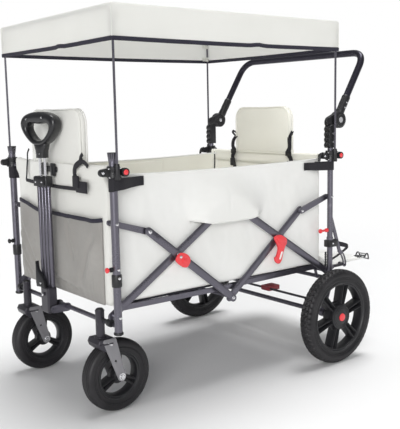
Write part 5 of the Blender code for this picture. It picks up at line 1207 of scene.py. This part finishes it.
def latches():
    """Red fold hook and its catch, the stop pins' knobs and the brake pedal."""
    hook = [(0.0728, 0.4196), (0.0812, 0.4259), (0.0981, 0.4262), (0.112, 0.42), (0.1225, 0.412),
            (0.124, 0.399), (0.118, 0.3905), (0.114, 0.383), (0.1076, 0.367), (0.103, 0.351),
            (0.0955, 0.3405), (0.0865, 0.3385), (0.0765, 0.346), (0.0735, 0.358), (0.08, 0.362),
            (0.086, 0.374), (0.088, 0.388), (0.0811, 0.4031)]
    drawn = [(p.x, p.z) for p in smooth_line([(x, 0, z) for x, z in hook[::-1]], 3, True)]
    form = Form().slab(drawn, 0.0078, facing_y(-0.2946), edge=0.0018, steps=3)
    form.slab(capsule((0.093, 0.354), (0.101, 0.372), 0.003, 0.0036), 0.0016, facing_y(-0.2989), 1,
              edge=0.0006)
    form.slab(capsule((0.09, 0.413), (0.108, 0.405), 0.008, 0.009), 0.0034, facing_y(-0.299), edge=0.0012)
    form.bolt((0.115, -0.2985, 0.403), -Y_AXIS, 0.0032, 0.0018, 2)
    form.make("fold_hook_lever", [RED, CANVAS, ZINC], "fold_hook", stands_for="fold_hook", slot="red_plastic")
    shield = [(-0.296, 0.4041), (-0.29, 0.416), (-0.2785, 0.4215), (-0.262, 0.417), (-0.25, 0.4065),
              (-0.2478, 0.393), (-0.257, 0.38), (-0.269, 0.379), (-0.281, 0.386), (-0.2925, 0.3955)]
    drawn = [(p.x, p.z) for p in smooth_line([(x, 0, z) for x, z in shield[::-1]], 3, True)]
    form = Form().slab(drawn, 0.0078, facing_y(-0.293), edge=0.002, steps=3)
    form.slab(capsule((-0.27, 0.398), (-0.261, 0.392), 0.007, 0.0066), 0.003, facing_y(-0.2975), edge=0.0013)
    form.bolt((-0.2815, -0.297, 0.411), -Y_AXIS, 0.0046, 0.0022, 1, False)
    form.make("fold_catch_shield", [RED, ZINC], "front_centre_bars", stands_for="fold_catch",
              slot="red_plastic")
    for (end, x, radius), z, stem in zip(ENDS, (0.408, 0.417), (0.0185, 0.035)):
        for name, side in SIDES:
            root = (x - (radius + 0.0006), side * 0.2965, z)
            pin = Form()
            pin.lathe([(0, stem), (0.005, stem), (0.0068, stem - 0.0012), (0.0074, stem - 0.0035),
                       (0.0068, stem - 0.006), (0.0044, stem - 0.008), (0.0036, stem - 0.0095)],
                      root, -X_AXIS, 24)
            pin.lathe([(0.0036, stem - 0.0095), (0.0038, 0.007), (0.0062, 0.0062), (0.0066, 0), (0, 0)],
                      root, -X_AXIS, 24, 1 if end == "front" else 0)
            pin.make(f"{end}_pin_{name}_knob", [RED if side < 0 else PLASTIC, PLASTIC], f"{end}_pin_{name}",
                     stands_for=f"{end}_pin_{name}", slot="red_plastic")
    low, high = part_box("brake_pedal")
    pedal = Form().slab(rounded_box(low[0], -0.0228, high[0], 0.0228, 0.007), high[2] - low[2],
                        Matrix.Translation((0, 0, (low[2] + high[2]) / 2)), edge=0.002)
    for k in range(4):
        px = low[0] + 0.012 + k * 0.0085
        pedal.slab(capsule((px, -0.016), (px, 0.016), 0.0014), 0.0018,
                   Matrix.Translation((0, 0, high[2] + 0.0002)), edge=0.0006)
    pedal.make("brake_pedal_pad", DARKRED, "brake", stands_for="brake_pedal", slot="red_plastic")


def bars():
    """Oval tubes of the scissors, pressed flat round their pivots, and the links to the posts."""
    def oval(thick, tall):
        return [(thick / 2 * blunt(cos(a), 0.72), tall / 2 * blunt(sin(a), 0.72))
                for a in (2 * pi * k / 20 for k in range(20))]

    def bar(form, a, b, y, tall):
        a, b = Vector((a[0], 0, a[1])), Vector((b[0], 0, b[1]))
        way = (b - a).normalized() * 0.004
        form.slab(capsule(((a - way).x, (a - way).z), ((b + way).x, (b + way).z), tall / 2 - 0.0002), 0.006,
                  facing_y(y), edge=0.0018)
        line = [a.lerp(b, t) + Y_AXIS * y for t in [0.075, 0.085, 0.1, 0.12]
                + [lerp(0.14, 0.86, t) for t in spread(8)] + [0.88, 0.9, 0.915, 0.925]]
        form.sweep(line, oval(0.0084, tall), side=Y_AXIS,
                   scale=[0.7, 0.9, 0.98] + [1] * 11 + [0.98, 0.9, 0.7])
    rear_foot, front_foot = (REAR_X, LOW_PIVOT_Z), (FRONT_X, LOW_PIVOT_Z)
    outside, inside = 0.28375, 0.27425
    sets = (("rear_post_bars", rear_foot, HIGH_CENTRE, outside, (REAR_CROSS,), ("rear_post_bars",)),
            ("front_centre_bars", LOW_CENTRE, FRONT_LINK_TIP, outside,
             (LOW_CENTRE, FRONT_LINK_TIP, FRONT_CROSS), ("front_centre_bars",)),
            ("rear_centre_bars", LOW_CENTRE, REAR_LINK_TIP, inside, (),
             ("rear_centre_bar_left", "rear_centre_bar_right")),
            ("front_post_bars", front_foot, HIGH_CENTRE, inside, (),
             ("front_post_bar_left", "front_post_bar_right")))
    for body, start, end, y, heads, nodes in sets:
        form = Form()
        for _, side in SIDES:
            bar(form, start, end, side * y, 0.0222)
            for x, z in heads:
                form.lathe([(0, 0.0024), (0.004, 0.0022), (0.0055, 0.001), (0.0057, -0.001), (0, -0.001)],
                           (x, side * 0.288, z), Y_AXIS * side, 20, 1)
            for x, z in heads[-1:]:
                form.pin((x, side * 0.269, z), Y_AXIS * side, 0.004, 0.0195, 0, kind=1)
            if start in (rear_foot, front_foot):
                form.pin((start[0], side * (y + 0.004), start[1]), Y_AXIS * side, 0.004, 0.0125, -0.004,
                         kind=1)
        if heads:
            form.pin((start[0], 0, start[1]), Y_AXIS, 0.005, -0.2838, 0.2838, 20)
        form.make(body + "_tubes", [GUNMETAL, ZINC], body, stands_for=nodes, slot="gunmetal")


def small_parts():
    """Rivets, caps and brackets that sit on the CAD nodes."""
    for end, x, radius in ENDS:
        form = Form()
        rows = (LINK_PIVOT_Z, 0.408, 0.386, LOW_PIVOT_Z) if end == "front" else (LINK_PIVOT_Z, LOW_PIVOT_Z)
        for _, side in SIDES:
            for z in rows:
                y = side * (POST_Y + radius + (0.0026 if z == 0.386 else 0.0006))
                form.bolt((x, y, z), Y_AXIS * side, 0.0042, 0.0022, socket=False)
        form.make(f"{end}_post_rivet_heads", ZINC, end + "_frame", slot="bright_steel")
    rivets = (("rear_post_bars", 0.2904, REAR_CROSS), ("front_links", 0.2886, FRONT_LINK_TIP),
              ("rear_links", 0.2901, REAR_LINK_TIP), ("front_centre_bars", 0.2904, (-0.087, 0.2614)))
    for body, face, (x, z) in rivets:
        form = Form()
        for _, side in SIDES:
            form.bolt((x, side * (face - 0.0003), z), Y_AXIS * side, 0.0046, 0.0024, socket=False)
        form.make(f"{body}_rivet_heads", ZINC, body, slot="bright_steel")
    stack = Form()
    for _, side in SIDES:
        ribs = [(0.0026 + 0.0012 * (k % 2), 0.3 + 0.0042 * k) for k in range(12)]
        stack.lathe([(0, 0.3)] + ribs + [(0, 0.3462)], (0.3015, side * 0.2945, 0), Z_AXIS, 16)
        stack.slab(rounded_box(REAR_X - 0.015, 0.362, REAR_X + 0.026, 0.385, 0.003), 0.0245,
                   facing_y(side * POST_Y), edge=0.002)
        stack.bolt((REAR_X + 0.002, side * 0.3115, 0.374), Y_AXIS * side, 0.0036, 0.0018, 1)
    stack.make("rear_post_brackets", [PLASTIC, ZINC], "rear_frame", slot="black_plastic")
    tips = Form()
    for _, side in SIDES:
        tips.lathe([(0.0107, -0.016), (0.0116, -0.014), (0.0134, 0.0002), (0.0134, 0.0014), (0, 0.0016)],
                   (FRONT_X, side * POST_Y, FRONT_POST_TOP), Z_AXIS, 28)
        tips.lathe([(0, 0.0035), (0.01, 0.003), (0.0128, 0.0008), (0.013, -0.003), (0.0116, -0.005),
                    (0, -0.005)], (FRONT_X, side * POST_Y, FRONT_POST_FOOT), -Z_AXIS, 28)
        tips.lathe([(0, 0.009), (0.009, 0.0085), (0.0108, 0.006), (0.0108, -0.006), (0.009, -0.0085),
                    (0, -0.009)], (-0.496, side * 0.27, 0.262), Y_AXIS, 24)
        tips.pin((-0.4975, side * 0.233, 0.264), Y_AXIS * side, 0.0036, 0.03, -0.004, 12)
        tips.lathe([(0.0106, 0.0165), (0.0126, 0.016), (0.0134, 0.013), (0.0134, -0.013), (0.0126, -0.016),
                    (0.0106, -0.0165)], (FRONT_X, side * POST_Y, 0.378), Z_AXIS, 32, closed=True)
        tips.slab(capsule((FRONT_X, YOKE_Z), (PULL_X, YOKE_Z), 0.0124, 0.0114), 0.004,
                  facing_y(side * 0.0248), edge=0.0012)
    stems = Form()
    for _, side in SIDES:
        stems.lathe([(0.0116, 0.0008), (0.0121, 0.0014), (0.0121, 0.07), (0.0127, 0.0708), (0.0127, 0.0742),
                     (0.0116, 0.0748)], (STEM_X, side * CASTER_Y, 0.213), Z_AXIS, 28, closed=True)
    stems.make("caster_stem_sleeves", DARKMETAL, "front_frame", slot="black_metal")
    tips.make("front_post_feet", PLASTIC, "front_frame", slot="black_plastic")


def stage():
    """White studio: pale floor that keeps the shadow, soft sky and two broad suns."""
    floor = bpy.data.objects.new("studio_floor", bpy.data.meshes.new("studio_floor"))
    bpy.context.scene.collection.objects.link(floor)
    floor.data.from_pydata([(-40, -40, 0), (40, -40, 0), (40, 40, 0), (-40, 40, 0)], [], [(0, 1, 2, 3)])
    material = bpy.data.materials.new("studio_white")
    material.use_nodes = True
    g = Graph(material.node_tree)
    away = g.node("ShaderNodeVectorMath", {"operation": "LENGTH"}, {0: g.place()}, 1)
    matt = g.node("ShaderNodeBsdfDiffuse", None, {"Color": (0.84, 0.84, 0.84)})
    glow = g.node("ShaderNodeEmission", None, {"Color": (1.0, 1.0, 1.0), "Strength": 1.0})
    mixed = g.node("ShaderNodeMixShader", None, {0: g.step(away, 1.6, 3.4), 1: matt, 2: glow})
    g.node("ShaderNodeOutputMaterial", None, {"Surface": mixed})
    floor.data.materials.append(material)
    world = bpy.data.worlds.new("studio_sky")
    world.use_nodes = True
    bpy.context.scene.world = world
    g = Graph(world.node_tree)
    seen = g.node("ShaderNodeLightPath")
    height = g.node("ShaderNodeSeparateXYZ", None, {0: g.node("ShaderNodeTexCoord")}, 2)
    glow = 0.28 + g.step(height, 0.0, 0.9) * 0.08
    soft = g.node("ShaderNodeBackground", None, {"Color": (0.98, 0.99, 1.0), "Strength": glow})
    white = g.node("ShaderNodeBackground", None, {"Color": (1.0, 1.0, 1.0), "Strength": 1.0})
    mixed = g.node("ShaderNodeMixShader", None, {0: seen, 1: soft, 2: white})
    g.node("ShaderNodeOutputWorld", None, {"Surface": mixed})
    lights = (("broad_front_light", 1.82, 34, (-0.66, -0.68, 0.28)),
              ("overhead_light", 2.2, 30, (0.2, 0.06, 1.0)))
    for name, strength, spread_angle, toward in lights:
        lamp = bpy.data.lights.new(name, "SUN")
        lamp.energy, lamp.angle = strength, radians(spread_angle)
        sun = bpy.data.objects.new(name, lamp)
        sun.rotation_euler = Vector(toward).to_track_quat("Z", "Y").to_euler()
        bpy.context.scene.collection.objects.link(sun)


def camera():
    """The photograph's viewpoint."""
    yaw, pitch, roll = radians(38.0784), radians(8.0823), radians(-1.1013)
    look = Vector((sin(yaw) * cos(pitch), cos(yaw) * cos(pitch), -sin(pitch)))
    right = Vector((cos(yaw), -sin(yaw), 0))
    up = right.cross(look)
    right, up = right * cos(roll) + up * sin(roll), up * cos(roll) - right * sin(roll)
    data = bpy.data.cameras.new("photo_camera")
    data.lens, data.sensor_width, data.sensor_fit = 62.094, 36.0, "AUTO"
    eye = bpy.data.objects.new("photo_camera", data)
    eye.matrix_world = Matrix((
        (right.x, up.x, -look.x, -1.4633),
        (right.y, up.y, -look.y, -1.8933),
        (right.z, up.z, -look.z, 0.8091),
        (0, 0, 0, 1)))
    bpy.context.scene.collection.objects.link(eye)
    bpy.context.scene.camera = eye


def finish_cad():
    """Better materials in the slots of the CAD nodes that stay in view."""
    special = {"pull_tubes": STEEL, "hub_button_left": ZINC, "hub_button_right": ZINC, "brake_bar": DARKMETAL,
               "pull_yoke": DARKMETAL, "basket_frame": DARKMETAL}
    for name, node in NODES.items():
        for slot in node.material_slots:
            slot.material = special.get(name, GUNMETAL)


for build in (canopy, tub, end_panels, pocket, seats, straps, basket, wheels, casters, pull_handle,
              push_handle, clamps, latches, bars, small_parts, finish_cad, stage, camera):
    build()

bpy.context.scene.view_settings.view_transform = "Standard"
